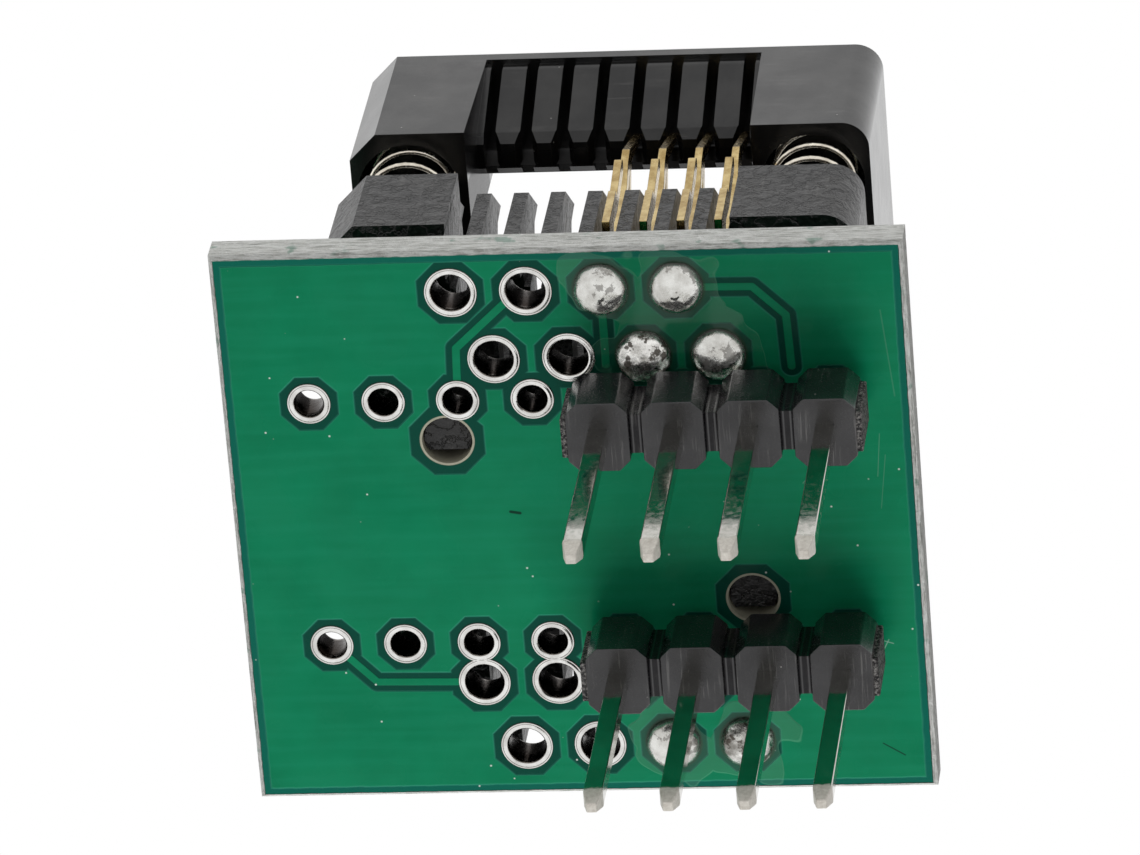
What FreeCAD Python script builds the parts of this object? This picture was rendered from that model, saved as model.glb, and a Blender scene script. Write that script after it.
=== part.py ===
import FreeCAD, Part
import math
import os
import Sketcher

# IC socket adapter: a small circuit board with an open-top test socket for a
# 16-position small-outline package on top, of which four positions a side have
# contacts, and two four-pin headers below.
# Frame: X along the rows of positions, Y across them, Z up, in millimetres.
# The origin is the centre of the eight header pins, on the headers' lower face.

SIZES = {
    # circuit board
    "board_left_margin": 2.98,
    "board_right_margin": 1.82,
    "board_front_margin": 0.15,
    "board_rear_margin": 0.5,
    "board_thick": 1.4,
    "board_bevel": 0.14,
    "lead_pitch": 2.54,
    "row_in": 1.52,
    "pin_hole_radius": 0.51,
    "tail_hole_radius": 0.67,
    "tail_outer_in": 1.38,
    "tail_inner_in": 3.88,
    "peg_hole_gap": 0.06,
    # headers
    "header_height": 2.45,
    "header_standoff": 0.68,
    "header_depth": 2.5,
    "header_segment": 2.1,
    "header_cut": 0.38,
    "header_neck": 1.45,
    "header_notch": 0.25,
    "header_stub": 0.2,
    "pin_width": 0.64,
    "pin_tip_width": 0.34,
    "pin_tip_length": 0.65,
    "pin_below": 8.95,
    "pin_above": 0.75,
    # socket base
    "socket_x": -4.37,
    "contact_pitch": 1.27,
    "block_width": 4.21,
    "base_half_y": 10.0,
    "base_lift": 1.11,
    "block_height": 4.12,
    "comb_margin": 0.395,
    "base_chamfer": 1.07,
    "base_round": 1.1,
    "seat_in": 5.8,
    "seat_height": 3.25,
    "seat_well_x": 3.0,
    "seat_well_y": 1.6,
    "tooth_width": 0.5,
    "tooth_front_in": 0.25,
    "tooth_front_height": 2.94,
    "tooth_back_in": 1.6,
    "tooth_peak_height": 4.85,
    "tooth_notch_height": 3.8,
    "tooth_low_in": 2.7,
    "tooth_low_height": 3.1,
    "tooth_drop": 0.8,
    "cheek_width": 0.9,
    "cheek_in": 2.4,
    "cheek_height": 1.15,
    "peg_radius": 0.8,
    "peg_out_x": 0.16,
    "peg_in": 1.5,
    "peg_end_gap": 0.25,
    "peg_flat": 0.35,
    "foot_width": 1.5,
    "foot_end": 2.05,
    "foot_in": 2.4,
    # cover
    "cover_gap": 2.92,
    "cover_height": 6.75,
    "cover_setback": 0.05,
    "cover_overhang": 0.2,
    "cover_chamfer": 0.95,
    "cover_round": 0.95,
    "cover_edge": 0.12,
    "window_margin": 0.12,
    "window_taper": 0.13,
    "bar_thick": 0.6,
    "well_margin": 0.66,
    "well_in": 4.2,
    "mouth_margin": 0.06,
    "mouth_in": 3.1,
    "rib_width": 0.87,
    "rib_top_in": 0.2,
    "rib_bevel_in": 0.4,
    "rib_bevel_drop": 1.15,
    "rib_slope_drop": 1.7,
    "rib_toe_in": 1.23,
    "rib_toe_rise": 2.65,
    "rib_under_rise": 2.35,
    "rib_heel_in": 2.45,
    "rib_nose_in": 2.75,
    "rib_corner": 0.24,
    "rib_corner_rise": 0.4,
    "cam_face_in": 2.1,
    "cam_rise": 2.56,
    # springs and their pockets
    "spring_end": 2.05,
    "spring_in": 2.0,
    "spring_radius": 1.43,
    "spring_wire": 0.22,
    "spring_pitch": 0.95,
    "spring_room": 0.24,
    "base_pocket": 1.03,
    "cover_pocket": 2.45,
    # latch legs
    "leg_margin": 0.76,
    "leg_thick": 1.0,
    "leg_width": 2.8,
    "leg_gap": 0.15,
    "leg_reach": 5.34,
    "barb_out": 0.5,
    "barb_height": 0.75,
    "latch_gap": 0.05,
    # contacts, measured in from the side of the cover and up from the board
    "contact_thick": 0.27,
    "tail_width": 0.4,
    "tail_below": 0.55,
    "arm_foot_in": 0.28,
    "arm_foot_z": 1.16,
    "arm_step_in": 0.21,
    "arm_step_z": 3.51,
    "arm_step_back": 0.25,
    "arm_top_in": 0.06,
    "arm_top_z": 5.7,
    "arm_top_round": 0.22,
    "arm_width": 0.52,
    "crotch_z": 2.1,
    "strand_foot_in": 1.75,
    "strand_mid_in": 1.63,
    "strand_mid_z": 5.52,
    "strand_high_in": 1.4,
    "strand_high_z": 6.5,
    "strand_width": 0.42,
    "bend_in": 0.73,
    "bend_z": 8.01,
    "neck_in": 0.88,
    "neck_z": 7.26,
    "lever_mid_in": 1.25,
    "lever_mid_z": 9.9,
    "lever_tip_in": 1.7,
    "lever_tip_z": 11.46,
    "lever_width": 0.36,
    "lever_tip_width": 0.2,
    "beak_root_in": 1.48,
    "beak_root_z": 8.02,
    "beak_mid_in": 2.9,
    "beak_mid_z": 6.85,
    "beak_low_in": 4.3,
    "beak_low_z": 5.75,
    "beak_nose_in": 5.48,
    "beak_nose_z": 4.7,
    "beak_width": 0.46,
    "pad_in": 4.9,
    "pad_z": 4.12,
    "pad_width": 0.6,
    "bar_height": 0.75,
    # solder
    "dome_radius": 0.88,
    "dome_shoulder": 0.7,
    "dome_shoulder_height": 0.4,
    "dome_top": 0.3,
    "dome_height": 0.64,
    "cone_radius": 0.8,
    "cone_top": 0.5,
    "cone_height": 0.6,
}


class Value:
    """A number together with the sheet expression that gives it."""

    def __init__(self, number, text):
        self.number = number
        self.text = text

    def __add__(self, other):
        other = as_value(other)
        return Value(self.number + other.number, "(%s + %s)" % (self.text, other.text))

    def __radd__(self, other):
        return as_value(other) + self

    def __sub__(self, other):
        other = as_value(other)
        return Value(self.number - other.number, "(%s - %s)" % (self.text, other.text))

    def __rsub__(self, other):
        return as_value(other) - self

    def __mul__(self, other):
        other = as_value(other)
        return Value(self.number * other.number, "(%s * %s)" % (self.text, other.text))

    def __rmul__(self, other):
        return as_value(other) * self

    def __truediv__(self, other):
        other = as_value(other)
        return Value(self.number / other.number, "(%s / %s)" % (self.text, other.text))

    def __neg__(self):
        return Value(-self.number, "(0 - %s)" % self.text)


def as_value(item):
    if isinstance(item, Value):
        return item
    return Value(float(item), repr(float(item)))


class Names:
    """The sheet's sizes by name."""


os.makedirs("parts", exist_ok=True)
doc = FreeCAD.newDocument("ic_socket_adapter")
sheet = doc.addObject("Spreadsheet::Sheet", "Sizes")
v = Names()
for row, (size_name, size_number) in enumerate(SIZES.items(), start=1):
    sheet.set("A%d" % row, size_name)
    sheet.set("B%d" % row, str(size_number))
    sheet.setAlias("B%d" % row, size_name)
    setattr(v, size_name, Value(size_number, "Sizes." + size_name))
doc.recompute()


def bind(thing, prop, value):
    thing.setExpression(prop, as_value(value).text)


def fix(sketch, kind, index, position, value):
    """Hold one coordinate of a sketch point, measured from the origin."""
    value = as_value(value)
    if abs(value.number) < 1e-9 and "Sizes" not in value.text:
        axis = -2 if kind == "DistanceX" else -1
        sketch.addConstraint(Sketcher.Constraint("PointOnObject", index, position, axis))
        return
    number = sketch.addConstraint(
        Sketcher.Constraint(kind, -1, 1, index, position, value.number))
    sketch.setExpression("Constraints[%d]" % number, value.text)


def new_sketch(body, name, plane, offset):
    sketch = body.newObject("Sketcher::SketchObject", name)
    for feature in body.Origin.OriginFeatures:
        if feature.Role == plane:
            sketch.AttachmentSupport = [(feature, "")]
    sketch.MapMode = "FlatFace"
    bind(sketch, "AttachmentOffset.Base.z", offset)
    return sketch


def add_loop(sketch, points):
    """Closed outline of straight edges through points of named sizes."""
    first = sketch.GeometryCount
    count = len(points)
    flat = [(as_value(a).number, as_value(b).number) for a, b in points]
    for step in range(count):
        start = FreeCAD.Vector(flat[step][0], flat[step][1], 0)
        after = flat[(step + 1) % count]
        sketch.addGeometry(Part.LineSegment(start, FreeCAD.Vector(after[0], after[1], 0)))
    for step in range(count):
        following = first + (step + 1) % count
        sketch.addConstraint(
            Sketcher.Constraint("Coincident", first + step, 2, following, 1))
    for step in range(count):
        fix(sketch, "DistanceX", first + step, 1, points[step][0])
        fix(sketch, "DistanceY", first + step, 1, points[step][1])


def add_circle(sketch, x, y, radius):
    centre = FreeCAD.Vector(as_value(x).number, as_value(y).number, 0)
    normal = FreeCAD.Vector(0, 0, 1)
    index = sketch.addGeometry(Part.Circle(centre, normal, as_value(radius).number))
    fix(sketch, "DistanceX", index, 3, x)
    fix(sketch, "DistanceY", index, 3, y)
    number = sketch.addConstraint(
        Sketcher.Constraint("Radius", index, as_value(radius).number))
    sketch.setExpression("Constraints[%d]" % number, as_value(radius).text)


SIDES = 8
TURN = 2 * math.pi / SIDES


def ring_points(x, y, radius):
    """Corners of an eight-sided outline, for holes and plugs under solder."""
    points = []
    for step in range(SIDES):
        angle = (step + 0.5) * TURN
        points.append((x + radius * round(math.cos(angle), 6),
                       y + radius * round(math.sin(angle), 6)))
    return points


def rectangle(x0, x1, y0, y1):
    return [(x0, y0), (x1, y0), (x1, y1), (x0, y1)]


def pad(body, name, sketch, length, symmetric=False):
    feature = body.newObject("PartDesign::Pad", name)
    feature.Profile = sketch
    bind(feature, "Length", length)
    if symmetric:
        feature.SideType = "Symmetric"
    return feature


def pocket(body, name, sketch, length, symmetric=False):
    """Cut downwards from the sketch, or to both sides of it."""
    feature = body.newObject("PartDesign::Pocket", name)
    feature.Profile = sketch
    bind(feature, "Length", length)
    if symmetric:
        feature.SideType = "Symmetric"
    return feature


def new_body(name):
    return doc.addObject("PartDesign::Body", name)


def edge_names(feature, test):
    """Names of the edges whose two ends both pass the test."""
    names = []
    for number, edge in enumerate(feature.Shape.Edges, start=1):
        ends = [vertex.Point for vertex in edge.Vertexes]
        if len(ends) == 2 and test(ends[0], ends[1]):
            names.append("Edge%d" % number)
    return names


def dress(body, kind, name, base, names, prop, size):
    feature = body.newObject(kind, name)
    feature.Base = (base, names)
    bind(feature, prop, size)
    return feature


def near(first, second):
    return abs(first - second) < 1e-4


def upright(first, second):
    return near(first.x, second.x) and near(first.y, second.y)


# levels up from the header's lower face
board_low = v.header_height + v.header_standoff
board_top = board_low + v.board_thick
base_low = board_top + v.base_lift
block_top = base_low + v.block_height
cover_low = block_top + v.cover_gap
cover_top = cover_low + v.cover_height
bar_low = cover_top - v.bar_thick

# places outwards from the middle of the socket, along X
comb_half = v.contact_pitch * 3.5 + v.comb_margin
base_half_x = comb_half + v.block_width
cover_half_x = base_half_x - v.cover_setback
window_half_low = comb_half + v.window_margin
window_half_high = window_half_low - v.window_taper
well_half_x = comb_half + v.well_margin
mouth_half_x = comb_half + v.mouth_margin
spring_x = base_half_x - v.spring_end
foot_x = base_half_x - v.foot_end
leg_x = comb_half + v.leg_margin
peg_x = comb_half + v.peg_out_x

# places outwards along Y, measured in from the side of the base
tail_outer_y = v.base_half_y - v.tail_outer_in
tail_inner_y = v.base_half_y - v.tail_inner_in
row_half = tail_inner_y - v.row_in
peg_y = row_half - v.peg_in
seat_half_y = v.base_half_y - v.seat_in
tooth_front_y = v.base_half_y - v.tooth_front_in
tooth_back_y = v.base_half_y - v.tooth_back_in
tooth_low_y = v.base_half_y - v.tooth_low_in
cheek_reach = v.base_half_y - v.cheek_in
foot_y = v.base_half_y - v.foot_in
spring_y = v.base_half_y - v.spring_in

# the same for the cover and the contacts, from the side of the cover
cover_half_y = v.base_half_y + v.cover_overhang
well_half_y = cover_half_y - v.well_in
mouth_half_y = cover_half_y - v.mouth_in
rib_top_y = cover_half_y - v.rib_top_in
rib_bevel_y = cover_half_y - v.rib_bevel_in
rib_toe_y = cover_half_y - v.rib_toe_in
rib_heel_y = cover_half_y - v.rib_heel_in
rib_nose_y = cover_half_y - v.rib_nose_in
cam_face_y = cover_half_y - v.cam_face_in
arm_foot_y = cover_half_y - v.arm_foot_in
arm_step_y = cover_half_y - v.arm_step_in
arm_top_y = cover_half_y - v.arm_top_in
strand_foot_y = cover_half_y - v.strand_foot_in
strand_mid_y = cover_half_y - v.strand_mid_in
strand_high_y = cover_half_y - v.strand_high_in
bend_y = cover_half_y - v.bend_in
neck_y = cover_half_y - v.neck_in
lever_mid_y = cover_half_y - v.lever_mid_in
lever_tip_y = cover_half_y - v.lever_tip_in
beak_root_y = cover_half_y - v.beak_root_in
beak_mid_y = cover_half_y - v.beak_mid_in
beak_low_y = cover_half_y - v.beak_low_in
beak_nose_y = cover_half_y - v.beak_nose_in
pad_y = cover_half_y - v.pad_in


def pin_x(place):
    """X of one of the four header pins, 0 to 3 from the left."""
    return v.lead_pitch * (place - 1.5)


def hole_x(place):
    """X of one of the eight holes of a pin row, 0 to 7 from the left."""
    return v.lead_pitch * (place - 5.5)


def contact_x(place):
    """X of one of the eight contact positions, 0 to 7 from the left."""
    return v.socket_x + v.contact_pitch * (place - 3.5)


def in_outer_row(side, place):
    """Tails stand in two rows a side; side is -1 at the front and 1 at the rear."""
    return place % 2 == 0 if side < 0 else place % 2 == 1


def tail_y(side, place):
    row = tail_outer_y if in_outer_row(side, place) else tail_inner_y
    return row * side


PEGS = ((-1, -1), (1, 1))
FILLED = (4, 5, 6, 7)


def make_board():
    body = new_body("board")
    x0 = hole_x(0) - v.board_left_margin
    x1 = v.socket_x + base_half_x + v.board_right_margin
    y0 = -(v.base_half_y + v.board_front_margin)
    y1 = v.base_half_y + v.board_rear_margin
    outline = new_sketch(body, "board_outline", "XY_Plane", board_low)
    add_loop(outline, rectangle(x0, x1, y0, y1))
    sheet_pad = pad(body, "board_pad", outline, v.board_thick)
    doc.recompute()

    def rim(first, second):
        return near(first.z, second.z)

    bevel = dress(body, "PartDesign::Chamfer", "board_bevels", sheet_pad,
                  edge_names(sheet_pad, rim), "Size", v.board_bevel)
    doc.recompute()
    spare = [place for place in range(8) if place not in FILLED]
    for side, label in ((-1, "front"), (1, "rear")):
        pins = new_sketch(body, "spare_pin_holes_" + label, "XY_Plane", board_top + 0.5)
        tails = new_sketch(body, "spare_tail_holes_" + label, "XY_Plane", board_top + 0.5)
        for place in spare:
            add_circle(pins, hole_x(place), row_half * side, v.pin_hole_radius)
            add_circle(tails, contact_x(place), tail_y(side, place), v.tail_hole_radius)
        pocket(body, "spare_pin_bores_" + label, pins, v.board_thick + 1.0)
        pocket(body, "spare_tail_bores_" + label, tails, v.board_thick + 1.0)
        for place in FILLED:
            used = new_sketch(body, "used_holes_%s_%d" % (label, place), "XY_Plane",
                              board_top + 0.5)
            add_loop(used, ring_points(hole_x(place), row_half * side,
                                       v.pin_hole_radius))
            add_loop(used, ring_points(contact_x(place), tail_y(side, place),
                                       v.tail_hole_radius))
            pocket(body, "used_bores_%s_%d" % (label, place), used, v.board_thick + 1.0)
    pegs = new_sketch(body, "peg_holes", "XY_Plane", board_top + 0.5)
    for across, along in PEGS:
        add_circle(pegs, v.socket_x + peg_x * across, peg_y * along,
                   v.peg_radius + v.peg_hole_gap)
    pocket(body, "peg_bores", pegs, v.board_thick + 1.0)
    return body


def make_header(name, side):
    """Four-position plastic strip with broken necks between octagonal segments."""
    body = new_body(name)
    half = v.header_segment / 2
    deep = v.header_depth / 2
    neck = v.header_neck / 2
    cut = v.header_cut
    points = []
    points.append((pin_x(0) - half - v.header_stub, neck))
    points.append((pin_x(0) - half - v.header_stub, -neck))
    for place in range(4):
        middle = pin_x(place)
        points.append((middle - half, -neck))
        points.append((middle - half, -deep + cut))
        points.append((middle - half + cut, -deep))
        points.append((middle + half - cut, -deep))
        points.append((middle + half, -deep + cut))
        points.append((middle + half, -neck))
    points.append((pin_x(3) + half + v.header_stub, -neck))
    points.append((pin_x(3) + half + v.header_stub, neck))
    for place in (3, 2, 1, 0):
        middle = pin_x(place)
        points.append((middle + half, neck))
        points.append((middle + half, deep - cut))
        points.append((middle + half - cut, deep))
        points.append((middle - half + cut, deep))
        points.append((middle - half, deep - cut))
        points.append((middle - half, neck))
    shifted = [(x, y + row_half * side) for x, y in points]
    outline = new_sketch(body, name + "_outline", "XY_Plane", 0)
    add_loop(outline, shifted)
    pad(body, name + "_pad", outline, v.header_height)
    holes = new_sketch(body, name + "_holes", "XY_Plane", v.header_height)
    wide = v.pin_width / 2
    for place in range(4):
        x = pin_x(place)
        y = row_half * side
        add_loop(holes, rectangle(x - wide, x + wide, y - wide, y + wide))
    pocket(body, name + "_bores", holes, v.header_height)
    # the necks stand back from the lower face
    notches = new_sketch(body, name + "_notches", "XY_Plane", v.header_notch)
    y0 = row_half * side - deep
    y1 = row_half * side + deep
    for place in range(3):
        add_loop(notches, rectangle(pin_x(place) + half, pin_x(place + 1) - half, y0, y1))
    pocket(body, name + "_notch_cut", notches, v.header_notch + 0.2)
    return body


def make_pin(name, place, side):
    """Square header pin with a taper at each end."""
    x = pin_x(place)
    y = row_half * side
    wide = v.pin_width / 2
    slim = v.pin_tip_width / 2
    low = v.pin_tip_length - v.pin_below
    high = board_top + v.pin_above - v.pin_tip_length / 2
    shank = doc.addObject("Part::Box", name + "_shank")
    bind(shank, "Length", v.pin_width)
    bind(shank, "Width", v.pin_width)
    bind(shank, "Height", high - low)
    bind(shank, "Placement.Base.x", x - wide)
    bind(shank, "Placement.Base.y", y - wide)
    bind(shank, "Placement.Base.z", low)
    pieces = [shank]
    for label, level, length, turn in (("low", low, v.pin_tip_length, -90),
                                       ("high", high, v.pin_tip_length / 2, 90)):
        taper = doc.addObject("Part::Wedge", "%s_%s" % (name, label))
        taper.Placement = FreeCAD.Placement(
            FreeCAD.Vector(0, 0, 0), FreeCAD.Rotation(FreeCAD.Vector(1, 0, 0), turn))
        for prop, value in (("Xmin", -wide), ("Xmax", wide), ("Zmin", -wide),
                            ("Zmax", wide), ("X2min", -slim), ("X2max", slim),
                            ("Z2min", -slim), ("Z2max", slim), ("Ymin", 0),
                            ("Ymax", length), ("Placement.Base.x", x),
                            ("Placement.Base.y", y), ("Placement.Base.z", level)):
            bind(taper, prop, value)
        pieces.append(taper)
    pin = doc.addObject("Part::MultiFuse", name)
    pin.Shapes = pieces
    return pin


def make_solder(name, x, y, hole_radius, bore_x, bore_y, outside, rings):
    """Solder round a lead: a plug in the hole and a mound outside, with the lead's
    own square bore. Rings are (distance out from the board, radius) pairs."""
    body = new_body(name)
    plug = new_sketch(body, name + "_plug_outline", "XY_Plane", board_low)
    add_loop(plug, ring_points(x, y, hole_radius))
    pad(body, name + "_plug", plug, v.board_thick)
    face = board_top if outside > 0 else board_low
    sections = []
    for count, (distance, radius) in enumerate(rings):
        ring = new_sketch(body, "%s_ring_%d" % (name, count), "XY_Plane",
                          face + distance * outside)
        add_loop(ring, ring_points(x, y, radius))
        sections.append(ring)
    mound = body.newObject("PartDesign::AdditiveLoft", name + "_mound")
    mound.Profile = sections[0]
    mound.Sections = sections[1:]
    mound.Ruled = True
    top = board_top + (v.cone_height + 0.5 if outside > 0 else 0.5)
    low = board_low - (v.tail_below if outside < 0 else 0.5)
    bore = new_sketch(body, name + "_bore_outline", "XY_Plane", top)
    add_loop(bore, rectangle(x - bore_x / 2, x + bore_x / 2,
                             y - bore_y / 2, y + bore_y / 2))
    pocket(body, name + "_bore", bore, top - low)
    return body


def make_tail_solder(name, place, side):
    rings = ((0, v.dome_radius), (v.dome_shoulder_height, v.dome_shoulder),
             (v.dome_height, v.dome_top))
    return make_solder(name, contact_x(place), tail_y(side, place), v.tail_hole_radius,
                       v.contact_thick, v.tail_width, -1, rings)


def make_pin_solder(name, place, side):
    rings = ((0, v.cone_radius), (v.cone_height, v.cone_top))
    return make_solder(name, pin_x(place), row_half * side, v.pin_hole_radius,
                       v.pin_width, v.pin_width, 1, rings)


def make_contact(name, place, side):
    """One stamped contact: tail, base bar, outer arm, and the inner strand that
    ends in a lever above and a beak over the lead pad."""
    body = new_body(name)
    z = board_top
    tail = tail_y(side, place) * side
    half_tail = v.tail_width / 2
    arm_in = arm_top_y - v.arm_width
    points = [
        (arm_foot_y, z + v.arm_foot_z),
        (arm_step_y, z + v.arm_step_z),
        (arm_step_y - v.arm_step_back, z + v.arm_step_z + 0.12),
        (arm_top_y, z + v.arm_top_z),
        (arm_top_y - v.arm_top_round / 2, z + v.arm_top_z + v.arm_top_round),
        (arm_in + v.arm_top_round / 2, z + v.arm_top_z + v.arm_top_round),
        (arm_in - 0.05, z + v.arm_top_z - 0.1),
        (arm_step_y - v.arm_step_back - v.arm_width, z + v.arm_step_z),
        (arm_foot_y - v.arm_width - 0.12, z + v.crotch_z + 0.25),
        (arm_foot_y - v.arm_width - 0.4, z + v.crotch_z),
        (strand_foot_y + 0.2, z + v.crotch_z + 0.1),
        (strand_foot_y, z + v.crotch_z + 0.5),
        (strand_mid_y, z + v.strand_mid_z),
        (strand_high_y, z + v.strand_high_z),
        (neck_y, z + v.neck_z),
        (bend_y, z + v.bend_z),
        (lever_mid_y, z + v.lever_mid_z),
        (lever_tip_y, z + v.lever_tip_z),
        (lever_tip_y - v.lever_tip_width, z + v.lever_tip_z - 0.05),
        (lever_mid_y - v.lever_width, z + v.lever_mid_z - 0.1),
        (beak_root_y + 0.2, z + v.beak_root_z + 0.25),
        (beak_root_y, z + v.beak_root_z),
        (beak_mid_y, z + v.beak_mid_z),
        (beak_low_y, z + v.beak_low_z),
        (beak_nose_y + 0.05, z + v.beak_nose_z + 0.5),
        (beak_nose_y, z + v.beak_nose_z + 0.1),
        (beak_nose_y + 0.2, z + v.beak_nose_z),
        (beak_low_y + 0.25, z + v.beak_low_z - v.beak_width),
        (beak_mid_y + 0.3, z + v.beak_mid_z - v.beak_width),
        (strand_high_y - 0.05, z + v.beak_root_z - v.beak_width - 0.2),
        (strand_high_y - v.strand_width + 0.05, z + v.strand_high_z + 0.15),
        (strand_mid_y - v.strand_width, z + v.strand_mid_z),
        (strand_foot_y - v.strand_width, z + v.crotch_z + 0.3),
        (strand_foot_y - v.strand_width - 0.2, z + v.arm_foot_z + v.bar_height),
        (pad_y + 0.25, z + v.arm_foot_z + v.bar_height),
        (pad_y, z + v.pad_z),
        (pad_y - v.pad_width, z + v.pad_z),
        (pad_y - v.pad_width, z + v.arm_foot_z + 0.15),
        (tail - half_tail, z + v.arm_foot_z + 0.1),
        (tail - half_tail, board_low - v.tail_below),
        (tail + half_tail, board_low - v.tail_below),
        (tail + half_tail, z + v.arm_foot_z),
    ]
    outline = new_sketch(body, name + "_outline", "YZ_Plane", contact_x(place))
    add_loop(outline, [(y * side, level) for y, level in points])
    pad(body, name + "_blank", outline, v.contact_thick, symmetric=True)
    return body


def block_outline(left, right, front, rear, chamfer):
    """Plan outline with the two left corners cut and the right ones square."""
    return [
        (left, front + chamfer),
        (left + chamfer, front),
        (right, front),
        (right, rear),
        (left + chamfer, rear),
        (left, rear - chamfer),
    ]


def make_base():
    body = new_body("socket_base")
    x0 = v.socket_x - base_half_x
    x1 = v.socket_x + base_half_x
    outline = new_sketch(body, "base_outline", "XY_Plane", base_low)
    add_loop(outline, block_outline(x0, x1, -v.base_half_y, v.base_half_y,
                                    v.base_chamfer))
    blocks = pad(body, "base_blocks", outline, v.block_height)
    doc.recompute()
    right_edge = (v.socket_x + base_half_x).number

    def corner(first, second):
        return upright(first, second) and near(first.x, right_edge)

    dress(body, "PartDesign::Fillet", "base_corners", blocks,
          edge_names(blocks, corner), "Radius", v.base_round)
    doc.recompute()
    # the bay between the two end blocks, front to rear
    bay = new_sketch(body, "bay_outline", "XY_Plane", block_top + 1.0)
    add_loop(bay, rectangle(v.socket_x - comb_half, v.socket_x + comb_half,
                            -v.base_half_y - 1.0, v.base_half_y + 1.0))
    pocket(body, "bay", bay, v.block_height + 2.0)
    return body


def cut_gaps(body, name, side, near_y, far_y, width, top, depth):
    """Cut the eight gaps at the contact positions on one side, down from a level."""
    gaps = new_sketch(body, name + "_outline", "XY_Plane", top)
    inner = near_y * side
    outer = far_y * side
    low, high = (outer, inner) if side < 0 else (inner, outer)
    for place in range(8):
        x = contact_x(place)
        add_loop(gaps, rectangle(x - width / 2, x + width / 2, low, high))
    return pocket(body, name, gaps, depth)


def finish_base(body):
    # seat for the package's body, joining the blocks
    seat = new_sketch(body, "seat_outline", "XY_Plane", base_low)
    reach = comb_half + 0.3
    add_loop(seat, rectangle(v.socket_x - reach, v.socket_x + reach,
                             -seat_half_y, seat_half_y))
    pad(body, "seat", seat, v.seat_height)
    # comb at each side: a bar with the teeth's profile, then the gaps between them,
    # and a lower bar whose narrow slots hold the contacts
    for side, label in ((-1, "front"), (1, "rear")):
        comb = new_sketch(body, "comb_%s_outline" % label, "YZ_Plane", v.socket_x)
        profile = [
            (tooth_front_y, base_low - v.tooth_drop),
            (tooth_front_y, base_low + v.tooth_front_height),
            (tooth_back_y, base_low + v.tooth_peak_height),
            (tooth_back_y - 0.15, base_low + v.tooth_notch_height),
            (tooth_low_y, base_low + v.tooth_low_height),
            (seat_half_y - 0.2, base_low + v.tooth_low_height),
            (seat_half_y - 0.2, base_low),
            (tooth_back_y - 0.3, base_low),
            (tooth_back_y - 0.1, base_low - v.tooth_drop),
        ]
        add_loop(comb, [(y * side, level) for y, level in profile])
        pad(body, "comb_" + label, comb, comb_half * 2, symmetric=True)
        cut_gaps(body, "comb_gap_" + label, side, seat_half_y, tooth_front_y + 1.0,
                 v.contact_pitch - v.tooth_width, block_top + 2.0, v.block_height + 4.0)
        low_bar = new_sketch(body, "cheek_%s_outline" % label, "YZ_Plane", v.socket_x)
        add_loop(low_bar, [(y * side, level) for y, level in rectangle(
            seat_half_y - 0.1, cheek_reach, base_low, base_low + v.cheek_height)])
        pad(body, "cheek_" + label, low_bar, comb_half * 2 + 0.1, symmetric=True)
        cut_gaps(body, "cheek_slot_" + label, side, seat_half_y, cheek_reach + 0.2,
                 v.contact_pitch - v.cheek_width, base_low + v.cheek_height + 0.1,
                 v.cheek_height + 0.3)
    # locating pegs through the board, each with a flat, and the feet
    for across, along in PEGS:
        x = v.socket_x + peg_x * across
        y = peg_y * along
        low = board_low + v.peg_end_gap
        peg = new_sketch(body, "peg_outline", "XY_Plane", low)
        add_circle(peg, x, y, v.peg_radius)
        pad(body, "peg", peg, base_low - low + 0.2)
        flat = new_sketch(body, "peg_flat_outline", "XY_Plane", board_top)
        flat_y = y + (v.peg_radius - v.peg_flat)
        add_loop(flat, rectangle(x - 1.0, x + 1.0, flat_y, y + 1.2))
        pocket(body, "peg_flat_cut", flat, v.board_thick)
    feet = new_sketch(body, "feet_outline", "XY_Plane", board_top)
    for across in (-1, 1):
        for along in (-1, 1):
            x = v.socket_x + foot_x * across
            y = foot_y * along
            half = v.foot_width / 2
            add_loop(feet, rectangle(x - half, x + half, y - half, y + half))
    pad(body, "feet", feet, v.base_lift + 0.2)
    # pockets for the springs, slots for the latch legs, and the well in the seat
    seats = new_sketch(body, "spring_seats", "XY_Plane", block_top + 0.5)
    for across in (-1, 1):
        for along in (-1, 1):
            add_circle(seats, v.socket_x + spring_x * across, spring_y * along,
                       v.spring_radius + v.spring_wire / 2 + v.spring_room)
    pocket(body, "spring_wells", seats, v.base_pocket + 0.5)
    ledge = cover_low - v.leg_reach + v.barb_height + v.latch_gap
    for across in (-1, 1):
        inner = leg_x - v.leg_gap
        outer = leg_x + v.leg_thick + v.leg_gap
        wide = outer + v.barb_out
        deep = v.leg_width / 2 + v.leg_gap
        for label, reach, top in (("slot", outer, block_top + 0.5), ("undercut", wide, ledge)):
            near_x = v.socket_x + inner * across
            far_x = v.socket_x + reach * across
            xs = (near_x, far_x) if across > 0 else (far_x, near_x)
            slot = new_sketch(body, "latch_%s" % label, "XY_Plane", top)
            add_loop(slot, rectangle(xs[0], xs[1], -deep, deep))
            pocket(body, "latch_%s_cut" % label, slot, top - base_low + 0.5)
    well = new_sketch(body, "seat_well_outline", "XY_Plane", block_top)
    add_loop(well, rectangle(v.socket_x - v.seat_well_x, v.socket_x + v.seat_well_x,
                             -v.seat_well_y, v.seat_well_y))
    pocket(body, "seat_well", well, v.block_height + 0.5)


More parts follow.
